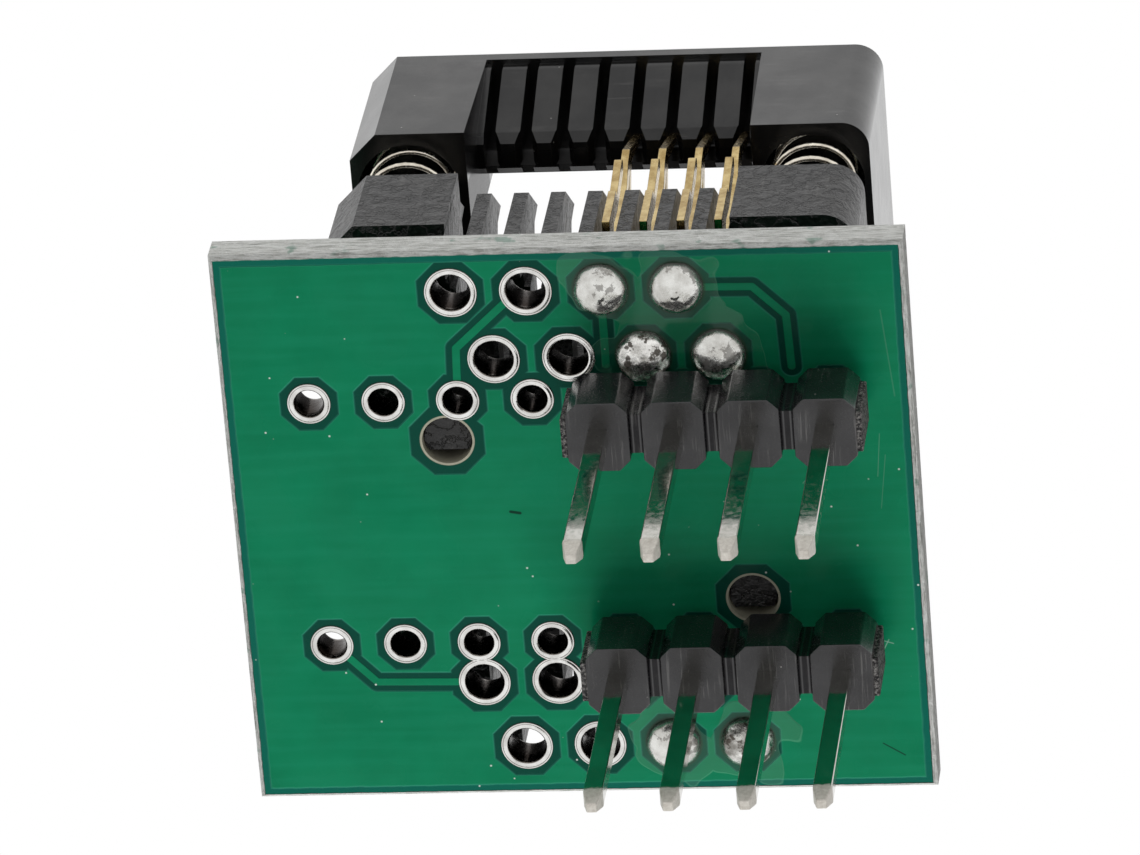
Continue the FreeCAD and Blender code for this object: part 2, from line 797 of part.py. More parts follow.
def make_cover():
    body = new_body("cover")
    x0 = v.socket_x - cover_half_x
    x1 = v.socket_x + cover_half_x
    outline = new_sketch(body, "cover_outline", "XY_Plane", cover_low)
    add_loop(outline, block_outline(x0, x1, -cover_half_y, cover_half_y,
                                    v.cover_chamfer))
    shell = pad(body, "cover_block", outline, v.cover_height)
    doc.recompute()
    right_edge = x1.number

    def corner(first, second):
        return upright(first, second) and near(first.x, right_edge)

    rounded = dress(body, "PartDesign::Fillet", "cover_corners", shell,
                    edge_names(shell, corner), "Radius", v.cover_round)
    doc.recompute()
    top_level = cover_top.number

    def rim(first, second):
        return near(first.z, top_level) and near(second.z, top_level)

    dress(body, "PartDesign::Chamfer", "cover_rim", rounded,
          edge_names(rounded, rim), "Size", v.cover_edge)
    doc.recompute()
    # window through the cover from front to rear, open at the bottom
    window = new_sketch(body, "window_outline", "XZ_Plane", 0)
    add_loop(window, [
        (v.socket_x - window_half_low, cover_low - 0.5),
        (v.socket_x + window_half_low, cover_low - 0.5),
        (v.socket_x + window_half_high, bar_low),
        (v.socket_x - window_half_high, bar_low),
    ])
    pocket(body, "window", window, cover_half_y * 2 + 2.0, symmetric=True)
    for label, half_x, half_y in (("mouth", mouth_half_x, mouth_half_y),
                                  ("well", well_half_x, well_half_y)):
        hole = new_sketch(body, label + "_outline", "XY_Plane", cover_top + 0.5)
        add_loop(hole, rectangle(v.socket_x - half_x, v.socket_x + half_x,
                                 -half_y, half_y))
        pocket(body, label, hole, v.cover_height + 1.0)
    # comb of ribs in each window, joined by the cam wall
    over = bar_low + v.bar_thick / 2
    for side, label in ((-1, "front"), (1, "rear")):
        comb = new_sketch(body, "ribs_%s_outline" % label, "YZ_Plane", v.socket_x)
        profile = [
            (rib_top_y, over),
            (rib_top_y, cover_top - v.rib_bevel_drop),
            (rib_bevel_y, cover_top - v.rib_slope_drop),
            (rib_toe_y, cover_low + v.rib_toe_rise),
            (rib_toe_y - 0.3, cover_low + v.rib_under_rise),
            (rib_heel_y, cover_low + v.rib_under_rise),
            (rib_nose_y, cover_low + v.rib_under_rise + 0.3),
            (mouth_half_y, cover_low + v.rib_under_rise + 1.2),
            (mouth_half_y, over),
        ]
        add_loop(comb, [(y * side, level) for y, level in profile])
        pad(body, "ribs_" + label, comb, window_half_low * 2 + 0.1, symmetric=True)
        cut_gaps(body, "rib_gap_" + label, side, mouth_half_y - 0.2,
                 cover_half_y + 0.5, v.contact_pitch - v.rib_width, bar_low,
                 v.cover_height)
        # the ribs' lower corners are cut back at both sides
        corners = new_sketch(body, "rib_corners_" + label, "XZ_Plane",
                             -rib_heel_y if side > 0 else rib_top_y + 0.1)
        toe = cover_low + v.rib_under_rise
        half = v.rib_width / 2
        for place in range(7):
            middle = (contact_x(place) + contact_x(place + 1)) / 2
            for way in (-1, 1):
                edge = middle + (half + 0.02) * way
                inner = middle + (half - v.rib_corner) * way
                add_loop(corners, [(edge, toe - 0.1), (inner, toe - 0.1),
                                   (edge, toe + v.rib_corner_rise)])
        pocket(body, "rib_corner_cut_" + label, corners, rib_top_y - rib_heel_y + 0.1)
        cam = new_sketch(body, "cam_%s_outline" % label, "YZ_Plane", v.socket_x)
        profile = [
            (cam_face_y, over),
            (cam_face_y, cover_low + v.cam_rise + 0.65),
            (cam_face_y - 0.12, cover_low + v.cam_rise + 0.3),
            (cam_face_y - 0.35, cover_low + v.cam_rise),
            (mouth_half_y + 0.3, cover_low + v.cam_rise + 0.15),
            (mouth_half_y, cover_low + v.cam_rise + 0.8),
            (mouth_half_y, over),
        ]
        add_loop(cam, [(y * side, level) for y, level in profile])
        pad(body, "cam_wall_" + label, cam, window_half_low * 2, symmetric=True)
    # pockets for the springs
    pockets = new_sketch(body, "cover_pockets", "XY_Plane", cover_low + v.cover_pocket)
    for across in (-1, 1):
        for along in (-1, 1):
            add_circle(pockets, v.socket_x + spring_x * across, spring_y * along,
                       v.spring_radius + v.spring_wire / 2 + v.spring_room)
    pocket(body, "cover_wells", pockets, v.cover_pocket + 0.5)
    # latch legs with barbs that catch under the ledges in the base
    for across, label in ((-1, "left"), (1, "right")):
        leg = new_sketch(body, "leg_%s_outline" % label, "XZ_Plane", 0)
        foot = cover_low - v.leg_reach
        profile = [
            (leg_x, cover_low + 0.3),
            (leg_x, foot),
            (leg_x + v.leg_thick, foot),
            (leg_x + v.leg_thick + v.barb_out, foot + v.barb_height * 0.5),
            (leg_x + v.leg_thick + v.barb_out, foot + v.barb_height),
            (leg_x + v.leg_thick, foot + v.barb_height),
            (leg_x + v.leg_thick, cover_low + 0.3),
        ]
        add_loop(leg, [(v.socket_x + x * across, level) for x, level in profile])
        pad(body, "leg_%s" % label, leg, v.leg_width, symmetric=True)
    return body


STEPS = 8


def make_spring(name, across, along):
    """Compression spring between the base's pocket and the cover's pocket, swept
    along a coil of straight chords."""
    radius = sheet.get("spring_radius")
    half = sheet.get("spring_wire") / 2
    low = (block_top - v.base_pocket).number
    high = (cover_low + v.cover_pocket).number
    rise = high - low - 2 * half
    turns = rise / sheet.get("spring_pitch")
    chords = int(round(turns * STEPS))
    points = []
    for step in range(chords + 1):
        angle = 2 * math.pi * turns * step / chords
        points.append(FreeCAD.Vector(radius * math.cos(angle), radius * math.sin(angle),
                                     low + half + rise * step / chords))
    corners = ((-half, -half), (half, -half), (half, half), (-half, half), (-half, -half))
    section = Part.makePolygon([points[0] + FreeCAD.Vector(dx, 0, dz) for dx, dz in corners])
    sweep = Part.BRepOffsetAPI.MakePipeShell(Part.makePolygon(points))
    sweep.setTransitionMode(1)
    sweep.add(section)
    sweep.build()
    sweep.makeSolid()
    spring = doc.addObject("Part::Feature", name)
    spring.Shape = sweep.shape()
    bind(spring, "Placement.Base.x", v.socket_x + spring_x * across)
    bind(spring, "Placement.Base.y", spring_y * along)
    return spring


made = {}
made["board"] = make_board()
made["header_front"] = make_header("header_front", -1)
made["header_rear"] = make_header("header_rear", 1)
for side, label in ((-1, "front"), (1, "rear")):
    for place in range(4):
        name = "pin_%s_%d" % (label, place + 1)
        made[name] = make_pin(name, place, side)
        name = "pin_solder_%s_%d" % (label, place + 1)
        made[name] = make_pin_solder(name, place, side)
    for count, place in enumerate(FILLED, start=1):
        name = "contact_%s_%d" % (label, count)
        made[name] = make_contact(name, place, side)
        name = "tail_solder_%s_%d" % (label, count)
        made[name] = make_tail_solder(name, place, side)
base_body = make_base()
finish_base(base_body)
made["socket_base"] = base_body
made["cover"] = make_cover()
made["spring_front_left"] = make_spring("spring_front_left", -1, -1)
made["spring_front_right"] = make_spring("spring_front_right", 1, -1)
made["spring_rear_left"] = make_spring("spring_rear_left", -1, 1)
made["spring_rear_right"] = make_spring("spring_rear_right", 1, 1)
doc.recompute()

for thing in doc.Objects:
    for state in thing.State:
        if state in ("Invalid", "Error"):
            raise RuntimeError("%s is %s" % (thing.Name, state))
for name, thing in made.items():
    thing.Label = name
    shape = thing.Shape
    if shape.isNull() or not shape.isValid() or not shape.Solids:
        raise RuntimeError("%s has no valid solid" % name)
    if len(shape.Solids) != 1:
        raise RuntimeError("%s has %d solids" % (name, len(shape.Solids)))
    shape.exportStep("parts/%s.step" % name)
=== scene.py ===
import math

import bmesh
import bpy
from mathutils import Matrix, Vector


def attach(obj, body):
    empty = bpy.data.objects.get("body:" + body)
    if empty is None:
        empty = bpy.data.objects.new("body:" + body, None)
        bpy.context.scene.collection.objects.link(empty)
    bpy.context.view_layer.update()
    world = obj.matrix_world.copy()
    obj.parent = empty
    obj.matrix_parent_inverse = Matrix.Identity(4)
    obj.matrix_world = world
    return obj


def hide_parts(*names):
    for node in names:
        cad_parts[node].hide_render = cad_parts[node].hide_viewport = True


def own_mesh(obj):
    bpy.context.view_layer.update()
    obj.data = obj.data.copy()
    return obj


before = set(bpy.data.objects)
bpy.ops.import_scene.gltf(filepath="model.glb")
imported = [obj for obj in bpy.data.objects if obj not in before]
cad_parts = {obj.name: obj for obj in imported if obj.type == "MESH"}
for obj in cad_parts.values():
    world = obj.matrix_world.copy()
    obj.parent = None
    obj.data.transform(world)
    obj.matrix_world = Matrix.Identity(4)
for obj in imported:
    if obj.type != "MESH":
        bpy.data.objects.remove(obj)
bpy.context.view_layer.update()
bpy.ops.object.select_all(action="DESELECT")

# Stage: a pale table under the pin tips, seen only from above, plain white all round,
# and three soft lamps. The adapter is looked at from below and in front, solder side
# first. Sizes of the pieces are in millimetres; those of the stage are in metres.
TIP_LEVEL = -8.95
TABLE_SIZE = 0.6
TABLE_DROP = 1e-5
TABLE_TONE = (0.9, 0.9, 0.9, 1)
WHITE = (1, 1, 1, 1)
ROOM_SEEN = 1.0
ROOM_LIGHT = 0.3
LENS = 300.09
SENSOR_WIDTH = 36
NEAREST = 0.02
FARTHEST = 5
CAMERA_RIGHT = (0.991964, 0.074601, 0.102191)
CAMERA_UP = (0.022037, -0.897207, 0.44106)
CAMERA_BACK = (0.12459, -0.435263, -0.891641)
CAMERA_PLACE = (0.0348036, -0.1430812, -0.2828279)
# name, place, the point it faces, width and power of each lamp
LAMPS = (
    ("window_below", (0.02, 0.26, -0.22), (0, 0, 0.004), 0.32, 1.2),
    ("window_above", (-0.12, -0.16, 0.3), (0, 0, 0.008), 0.2, 0.6),
    ("fill_front", (-0.05, -0.33, 0.03), (0, 0, 0.006), 0.16, 0.36),
)


def put(tree, kind, inputs=None, **settings):
    """Add a node, set its options, and fill its sockets with values or links."""
    node = tree.nodes.new(kind)
    for option, value in settings.items():
        setattr(node, option, value)
    for name, value in (inputs or {}).items():
        if isinstance(value, bpy.types.NodeSocket):
            tree.links.new(value, node.inputs[name])
        else:
            node.inputs[name].default_value = value
    return node


def calc(tree, operation, *values, clamp=False):
    """One Math node; returns its output."""
    return put(tree, "ShaderNodeMath", dict(enumerate(values)), operation=operation,
               use_clamp=clamp).outputs[0]


def new_material(name):
    material = bpy.data.materials.new(name)
    material.use_nodes = True
    material.node_tree.nodes.clear()
    return material, material.node_tree


def make_world():
    """Plain white where it is seen or mirrored, dimmer where it only gives light."""
    world = bpy.data.worlds.new("white_room")
    world.use_nodes = True
    bpy.context.scene.world = world
    tree = world.node_tree
    tree.nodes.clear()
    path = put(tree, "ShaderNodeLightPath").outputs
    mirrored = calc(tree, "MAXIMUM", path["Is Glossy Ray"], path["Is Transmission Ray"])
    seen = calc(tree, "MAXIMUM", path["Is Camera Ray"], mirrored)
    white = put(tree, "ShaderNodeBackground", {"Color": WHITE, "Strength": ROOM_SEEN})
    soft = put(tree, "ShaderNodeBackground", {"Color": WHITE, "Strength": ROOM_LIGHT})
    mix = put(tree, "ShaderNodeMixShader", {0: seen, 1: soft.outputs[0], 2: white.outputs[0]})
    put(tree, "ShaderNodeOutputWorld", {"Surface": mix.outputs[0]})


def make_table():
    bpy.ops.mesh.primitive_plane_add(size=TABLE_SIZE,
                                     location=(0, 0, TIP_LEVEL / 1000 - TABLE_DROP))
    table = bpy.context.object
    table.name = "table"
    table.data.transform(Matrix.Translation(table.location))
    table.location = (0, 0, 0)
    material, tree = new_material("table_paint")
    path = put(tree, "ShaderNodeLightPath").outputs
    side = put(tree, "ShaderNodeNewGeometry").outputs
    facing = calc(tree, "SUBTRACT", 1.0, side["Backfacing"])
    shown = calc(tree, "MULTIPLY", path["Is Camera Ray"], facing)
    coat = put(tree, "ShaderNodeBsdfDiffuse", {"Color": TABLE_TONE})
    clear = put(tree, "ShaderNodeBsdfTransparent")
    mix = put(tree, "ShaderNodeMixShader", {0: shown, 1: clear.outputs[0], 2: coat.outputs[0]})
    put(tree, "ShaderNodeOutputMaterial", {"Surface": mix.outputs[0]})
    table.data.materials.append(material)


def make_camera():
    data = bpy.data.cameras.new("photo_view")
    data.sensor_width = SENSOR_WIDTH
    data.lens = LENS
    data.clip_start = NEAREST
    data.clip_end = FARTHEST
    camera = bpy.data.objects.new("photo_view", data)
    bpy.context.collection.objects.link(camera)
    turn = Matrix((CAMERA_RIGHT, CAMERA_UP, CAMERA_BACK)).transposed()
    camera.rotation_mode = "QUATERNION"
    camera.rotation_quaternion = turn.to_quaternion()
    camera.location = CAMERA_PLACE
    bpy.context.scene.camera = camera


def add_lamp(name, place, aim, size, power):
    """A soft lamp that lights the pieces but isn't mirrored in them."""
    lamp = bpy.data.lights.new(name, "AREA")
    lamp.size = size
    lamp.energy = power
    holder = bpy.data.objects.new(name, lamp)
    bpy.context.collection.objects.link(holder)
    place = Vector(place)
    holder.location = place
    holder.rotation_mode = "QUATERNION"
    holder.rotation_quaternion = (Vector(aim) - place).to_track_quat("-Z", "Y")
    holder.visible_glossy = False


make_world()
make_table()
make_camera()
for lamp_values in LAMPS:
    add_lamp(*lamp_values)
bpy.context.scene.view_settings.view_transform = "Standard"

# Circuit board: glass-fibre laminate under green solder mask, scored and snapped at its
# edges, with two rows of pin holes and four staggered rows of contact tails, all tinned.
BOARD_WIDTH = 23.45
BOARD_DEPTH = 20.65
BOARD_MID = (-5.225, 0.175)
BOARD_LOW = 3.13
BOARD_TOP = 4.53
MASK_SPLIT = 3.8
PITCH = 2.54
TAIL_PITCH = 1.27
PIN_ROW = 4.6
FIRST_PIN = -13.97
FIRST_TAIL = -8.815
SECOND_TAIL = FIRST_TAIL + TAIL_PITCH
TAIL_OUT = 8.62
TAIL_IN = 6.12
# radius of the hole, of its ring and of the clearance round it in the mask
PIN_HOLE = (0.51, 0.75, 1.0)
TAIL_HOLE = (0.67, 0.905, 1.15)
# x and y of the first hole, number of holes, and their radii
HOLE_ROWS = (
    (FIRST_PIN, -PIN_ROW, 8, PIN_HOLE),
    (FIRST_PIN, PIN_ROW, 8, PIN_HOLE),
    (FIRST_TAIL, -TAIL_OUT, 4, TAIL_HOLE),
    (SECOND_TAIL, -TAIL_IN, 4, TAIL_HOLE),
    (FIRST_TAIL, TAIL_IN, 4, TAIL_HOLE),
    (SECOND_TAIL, TAIL_OUT, 4, TAIL_HOLE),
)
PEGS = ((-9.37, -3.1), (0.63, 3.1))
PEG_CLEARANCE = 1.28
PEG_RIM = 0.92
TRACK_HALF = 0.12
CHANNEL_REACH = 0.37
BORDER_WIDTH = 0.39
SCORE_WIDTH = 0.13
TRACKS = (
    ((-6.275, -8.62), (-7.07, -8.15)), ((-7.07, -8.15), (-8.80, -6.55)),
    ((-8.80, -6.55), (-8.89, -4.6)),
    ((-3.735, -8.62), (-3.76, -5.8)),
    ((-1.195, -8.62), (1.36, -8.58)), ((1.36, -8.58), (2.43, -7.5)),
    ((2.43, -7.5), (2.5, -5.6)),
    ((-13.97, 4.6), (-13.4, 5.12)), ((-13.4, 5.12), (-12.52, 6.05)),
    ((-12.52, 6.05), (-8.815, 6.12)),
)
# the first of each pair of tails that has a film of flux round it
FLUX_SPOTS = ((-3.735, -TAIL_OUT), (-2.465, -TAIL_IN), (-2.465, TAIL_OUT))
FLUX_REACH = 1.44
GRIME_REACH = 0.95
# start, end, half width, strength and colour of stray marks in the mask
PALE = (0.3, 0.5, 0.4, 1)
DARK = (0.004, 0.02, 0.015, 1)
MARKS = (
    ((-7.42, -0.36), (-7.1, -0.3), 0.07, 0.9, DARK),
    ((4.72, 8.78), (5.45, 9.25), 0.03, 0.85, DARK),
    ((5.3, -3.0), (5.15, -1.4), 0.02, 0.22, PALE), ((5.45, -2.2), (5.2, -0.2), 0.02, 0.16, PALE),
    ((0.9, -1.8), (1.6, -2.2), 0.02, 0.3, PALE), ((2.6, -1.2), (3.2, -1.9), 0.02, 0.3, PALE),
    ((5.6, -7.6), (5.9, -4.4), 0.03, 0.12, PALE), ((4.9, 5.3), (5.15, 4.8), 0.025, 0.6, PALE),
    ((5.0, 4.85), (5.3, 4.95), 0.025, 0.6, PALE),
)
MASK_DEEP = (0.003, 0.19, 0.083, 1)
MASK_BRIGHT = (0.005, 0.222, 0.1, 1)
MASK_WEAVE = (0.01, 0.25, 0.125, 1)
MASK_CHANNEL = (0.002, 0.062, 0.04, 1)
MASK_BORDER = (0.003, 0.13, 0.088, 1)
MASK_RIM = (0.04, 0.3, 0.2, 1)
FLUX_FILM = (0.03, 0.26, 0.11, 1)
FLUX_EDGE = (0.12, 0.36, 0.22, 1)
FLUX_GRIME = (0.035, 0.06, 0.03, 1)
FIBRE_GREY = (0.42, 0.42, 0.39, 1)
FIBRE_PALE = (0.84, 0.85, 0.82, 1)
FIBRE_TUFT = (0.93, 0.93, 0.91, 1)
FIBRE_CRACK = (0.12, 0.13, 0.11, 1)
FIBRE_GREEN = (0.05, 0.24, 0.16, 1)
RESIN_DARK = (0.3, 0.29, 0.22, 1)
RESIN_LIGHT = (0.55, 0.53, 0.42, 1)
BOARD_DUST = (0.8, 0.85, 0.8, 1)
HOLE_WALL_SHADE = (0.16, 0.12, 0.09, 1)
MASK_SHINE = 0.07
FLUX_SHINE = 0.45
FLUX_ROUGHNESS = 0.08


def less(tree, share, strength=1.0):
    """1 where a mask is 0, and 1 less the strength where it is 1."""
    if strength != 1.0:
        share = calc(tree, "MULTIPLY", share, strength)
    return calc(tree, "SUBTRACT", 1.0, share)


def off_from(tree, value, middle):
    """How far a value is from the middle, on either side."""
    return calc(tree, "ABSOLUTE", calc(tree, "SUBTRACT", value, middle))


def smallest(tree, values):
    least = values[0]
    for value in values[1:]:
        least = calc(tree, "MINIMUM", least, value)
    return least


def ramp(tree, value, start, end):
    """Smooth step from 0 at start to 1 at end."""
    return put(tree, "ShaderNodeMapRange",
               {"Value": value, "From Min": start, "From Max": end, "To Min": 0.0,
                "To Max": 1.0}, interpolation_type="SMOOTHSTEP").outputs["Result"]


def blend(tree, share, first, second):
    """Colour mix; share and colours are sockets or values."""
    return put(tree, "ShaderNodeMix", {0: share, 6: first, 7: second},
               data_type="RGBA").outputs[2]


def tint(tree, colour, share, strength, tone):
    """Lay a tone over a colour where a mask says, at most by the given strength."""
    return blend(tree, calc(tree, "MULTIPLY", share, strength), colour, tone)


def axes(tree, place):
    outputs = put(tree, "ShaderNodeSeparateXYZ", {0: place}).outputs
    return outputs["X"], outputs["Y"], outputs["Z"]


def stretched(tree, place, scale):
    return put(tree, "ShaderNodeMapping", {"Vector": place, "Scale": scale}).outputs[0]


def place_in_mm(tree):
    coords = put(tree, "ShaderNodeTexCoord")
    return stretched(tree, coords.outputs["Object"], (1000, 1000, 1000))


def noise(tree, place, scale, detail=3.0, roughness=0.5):
    return put(tree, "ShaderNodeTexNoise", {"Vector": place, "Scale": scale,
               "Detail": detail, "Roughness": roughness}).outputs["Fac"]


def wavering(tree, place, scale, reach, detail=3.0):
    """An uneven offset, half the reach either way, that makes a straight line ragged."""
    return calc(tree, "MULTIPLY", calc(tree, "SUBTRACT", noise(tree, place, scale, detail), 0.5),
                reach)


def group_tree(name, inputs, outputs):
    tree = bpy.data.node_groups.new(name, "ShaderNodeTree")
    for label, kind in inputs:
        tree.interface.new_socket(label, in_out="INPUT", socket_type="NodeSocket" + kind)
    for label in outputs:
        tree.interface.new_socket(label, in_out="OUTPUT", socket_type="NodeSocketFloat")
    given = tree.nodes.new("NodeGroupInput").outputs
    result = tree.nodes.new("NodeGroupOutput").inputs
    return tree, given, result


def make_track_group():
    """Distance from a point on the board to a straight piece of track."""
    tree, given, result = group_tree(
        "track_distance", (("Place", "Vector"), ("From", "Vector"), ("To", "Vector")),
        ("Distance",))
    along = put(tree, "ShaderNodeVectorMath", {0: given["To"], 1: given["From"]},
                operation="SUBTRACT").outputs[0]
    away = put(tree, "ShaderNodeVectorMath", {0: given["Place"], 1: given["From"]},
               operation="SUBTRACT").outputs[0]
    dot = put(tree, "ShaderNodeVectorMath", {0: away, 1: along},
              operation="DOT_PRODUCT").outputs["Value"]
    span = put(tree, "ShaderNodeVectorMath", {0: along, 1: along},
               operation="DOT_PRODUCT").outputs["Value"]
    share = calc(tree, "DIVIDE", dot, span, clamp=True)
    foot = put(tree, "ShaderNodeVectorMath", {0: along, "Scale": share},
               operation="SCALE").outputs[0]
    gap = put(tree, "ShaderNodeVectorMath", {0: away, 1: foot}, operation="DISTANCE")
    tree.links.new(gap.outputs["Value"], result["Distance"])
    return tree


def make_hole_group():
    """Round and eight-sided distance from a point to the nearest hole of a row."""
    tree, given, result = group_tree(
        "nearest_hole", (("Place", "Vector"), ("First X", "Float"), ("Row Y", "Float"),
                         ("Last", "Float")), ("Round", "Eight Sided"))
    x, y, _ = axes(tree, given["Place"])
    offset = calc(tree, "SUBTRACT", x, given["First X"])
    count = calc(tree, "ROUND", calc(tree, "DIVIDE", offset, PITCH))
    count = calc(tree, "MINIMUM", calc(tree, "MAXIMUM", count, 0.0), given["Last"])
    across = off_from(tree, offset, calc(tree, "MULTIPLY", count, PITCH))
    along = off_from(tree, y, given["Row Y"])
    squares = calc(tree, "ADD", calc(tree, "MULTIPLY", across, across),
                   calc(tree, "MULTIPLY", along, along))
    slant = calc(tree, "MULTIPLY", calc(tree, "ADD", across, along), 0.7071)
    eight = calc(tree, "MAXIMUM", calc(tree, "MAXIMUM", across, along), slant)
    tree.links.new(calc(tree, "SQRT", squares), result["Round"])
    tree.links.new(eight, result["Eight Sided"])
    return tree


def make_dust_group():
    """Sparse round specks of dust, gathered in patches."""
    tree, given, result = group_tree(
        "dust_specks", (("Place", "Vector"), ("Spacing", "Float"), ("Size", "Float"),
                        ("Clean Share", "Float")), ("Specks",))
    cells = put(tree, "ShaderNodeTexVoronoi", {"Vector": given["Place"],
                "Scale": given["Spacing"], "Randomness": 1.0})
    spots = ramp(tree, cells.outputs["Distance"], given["Size"],
                 calc(tree, "MULTIPLY", given["Size"], 0.5))
    clean = given["Clean Share"]
    patches = ramp(tree, noise(tree, given["Place"], 1.0, 1.0), clean,
                   calc(tree, "ADD", clean, 0.05))
    tree.links.new(calc(tree, "MULTIPLY", spots, patches), result["Specks"])
    return tree


track_distance = make_track_group()
nearest_hole = make_hole_group()
dust_specks = make_dust_group()


def track_gap(tree, flat, start, end):
    return put(tree, "ShaderNodeGroup", {"Place": flat, "From": (*start, 0), "To": (*end, 0)},
               node_tree=track_distance).outputs["Distance"]


def hole_gaps(tree, flat, x, y, count):
    """Round and eight-sided distance to the nearest of a few holes in a row."""
    near = put(tree, "ShaderNodeGroup", {"Place": flat, "First X": x, "Row Y": y,
               "Last": count - 1}, node_tree=nearest_hole)
    return near.outputs["Round"], near.outputs["Eight Sided"]


def dust(tree, place, spacing, size, clean_share):
    return put(tree, "ShaderNodeGroup", {"Place": place, "Spacing": spacing, "Size": size,
               "Clean Share": clean_share}, node_tree=dust_specks).outputs["Specks"]


def drilled_holes(tree, flat):
    """Distances to the clearances in the mask, the plated walls and the peg holes."""
    clearances = []
    walls = []
    pegs = []
    for x, y, count, (hole, _, clear) in HOLE_ROWS:
        round_gap, eight_gap = hole_gaps(tree, flat, x, y, count)
        clearances.append(calc(tree, "SUBTRACT", eight_gap, clear))
        walls.append(calc(tree, "SUBTRACT", round_gap, hole))
    for x, y in PEGS:
        round_gap, eight_gap = hole_gaps(tree, flat, x, y, 1)
        clearances.append(calc(tree, "SUBTRACT", eight_gap, PEG_CLEARANCE))
        pegs.append(round_gap)
    return smallest(tree, clearances), smallest(tree, walls), smallest(tree, pegs)


def mask_colour(tree, place, on_copper, on_border, rim_line):
    """Green mask, brighter over copper, dark in the channels, pale along their rims."""
    mottle = noise(tree, place, 0.35, 4.0, 0.6)
    weave = noise(tree, stretched(tree, place, (0.25, 3.2, 1.0)), 1.0, 2.0)
    pour = blend(tree, ramp(tree, mottle, 0.3, 0.7), MASK_DEEP, MASK_BRIGHT)
    pour = tint(tree, pour, ramp(tree, weave, 0.35, 0.75), 0.35, MASK_WEAVE)
    gap_tone = blend(tree, on_border, MASK_CHANNEL, MASK_BORDER)
    mask = blend(tree, on_copper, gap_tone, pour)
    return tint(tree, mask, rim_line, 0.42, MASK_RIM)


def flux_masks(tree, place, flat, below):
    """Clear film of flux round the hand-soldered tails, its edge, and brown grime."""
    flux = smallest(tree, [hole_gaps(tree, flat, x, y, 2)[0] for x, y in FLUX_SPOTS])
    edge = calc(tree, "ADD", flux, wavering(tree, place, 0.7, 2.4, 1.0))
    film = calc(tree, "MULTIPLY", ramp(tree, edge, FLUX_REACH + 0.06, FLUX_REACH), below)
    line = less(tree, ramp(tree, off_from(tree, edge, FLUX_REACH + 0.04), 0.0, 0.05))
    grime = ramp(tree, flux, GRIME_REACH + 0.08, GRIME_REACH)
    return film, calc(tree, "MULTIPLY", below, line), calc(tree, "MULTIPLY", grime, below)


def fibre_colour(tree, place):
    """Bare glass fibre of the snapped edges: its colour, and the height of its strands."""
    strands = noise(tree, stretched(tree, place, (1.4, 1.4, 14.0)), 1.0, 5.0, 0.7)
    tufts = noise(tree, place, 5.0, 5.0, 0.75)
    cracks = noise(tree, stretched(tree, place, (0.5, 0.5, 11.0)), 1.0, 3.0, 0.6)
    fibre = blend(tree, ramp(tree, strands, 0.3, 0.62), FIBRE_GREY, FIBRE_PALE)
    fibre = tint(tree, fibre, ramp(tree, tufts, 0.5, 0.75), 0.8, FIBRE_TUFT)
    fibre = tint(tree, fibre, ramp(tree, cracks, 0.6, 0.68), 0.6, FIBRE_CRACK)
    smears = ramp(tree, noise(tree, place, 1.1), 0.62, 0.7)
    fibre = tint(tree, fibre, smears, 0.5, FIBRE_GREEN)
    cream = blend(tree, tufts, RESIN_DARK, RESIN_LIGHT)
    return fibre, cream, calc(tree, "ADD", strands, tufts)


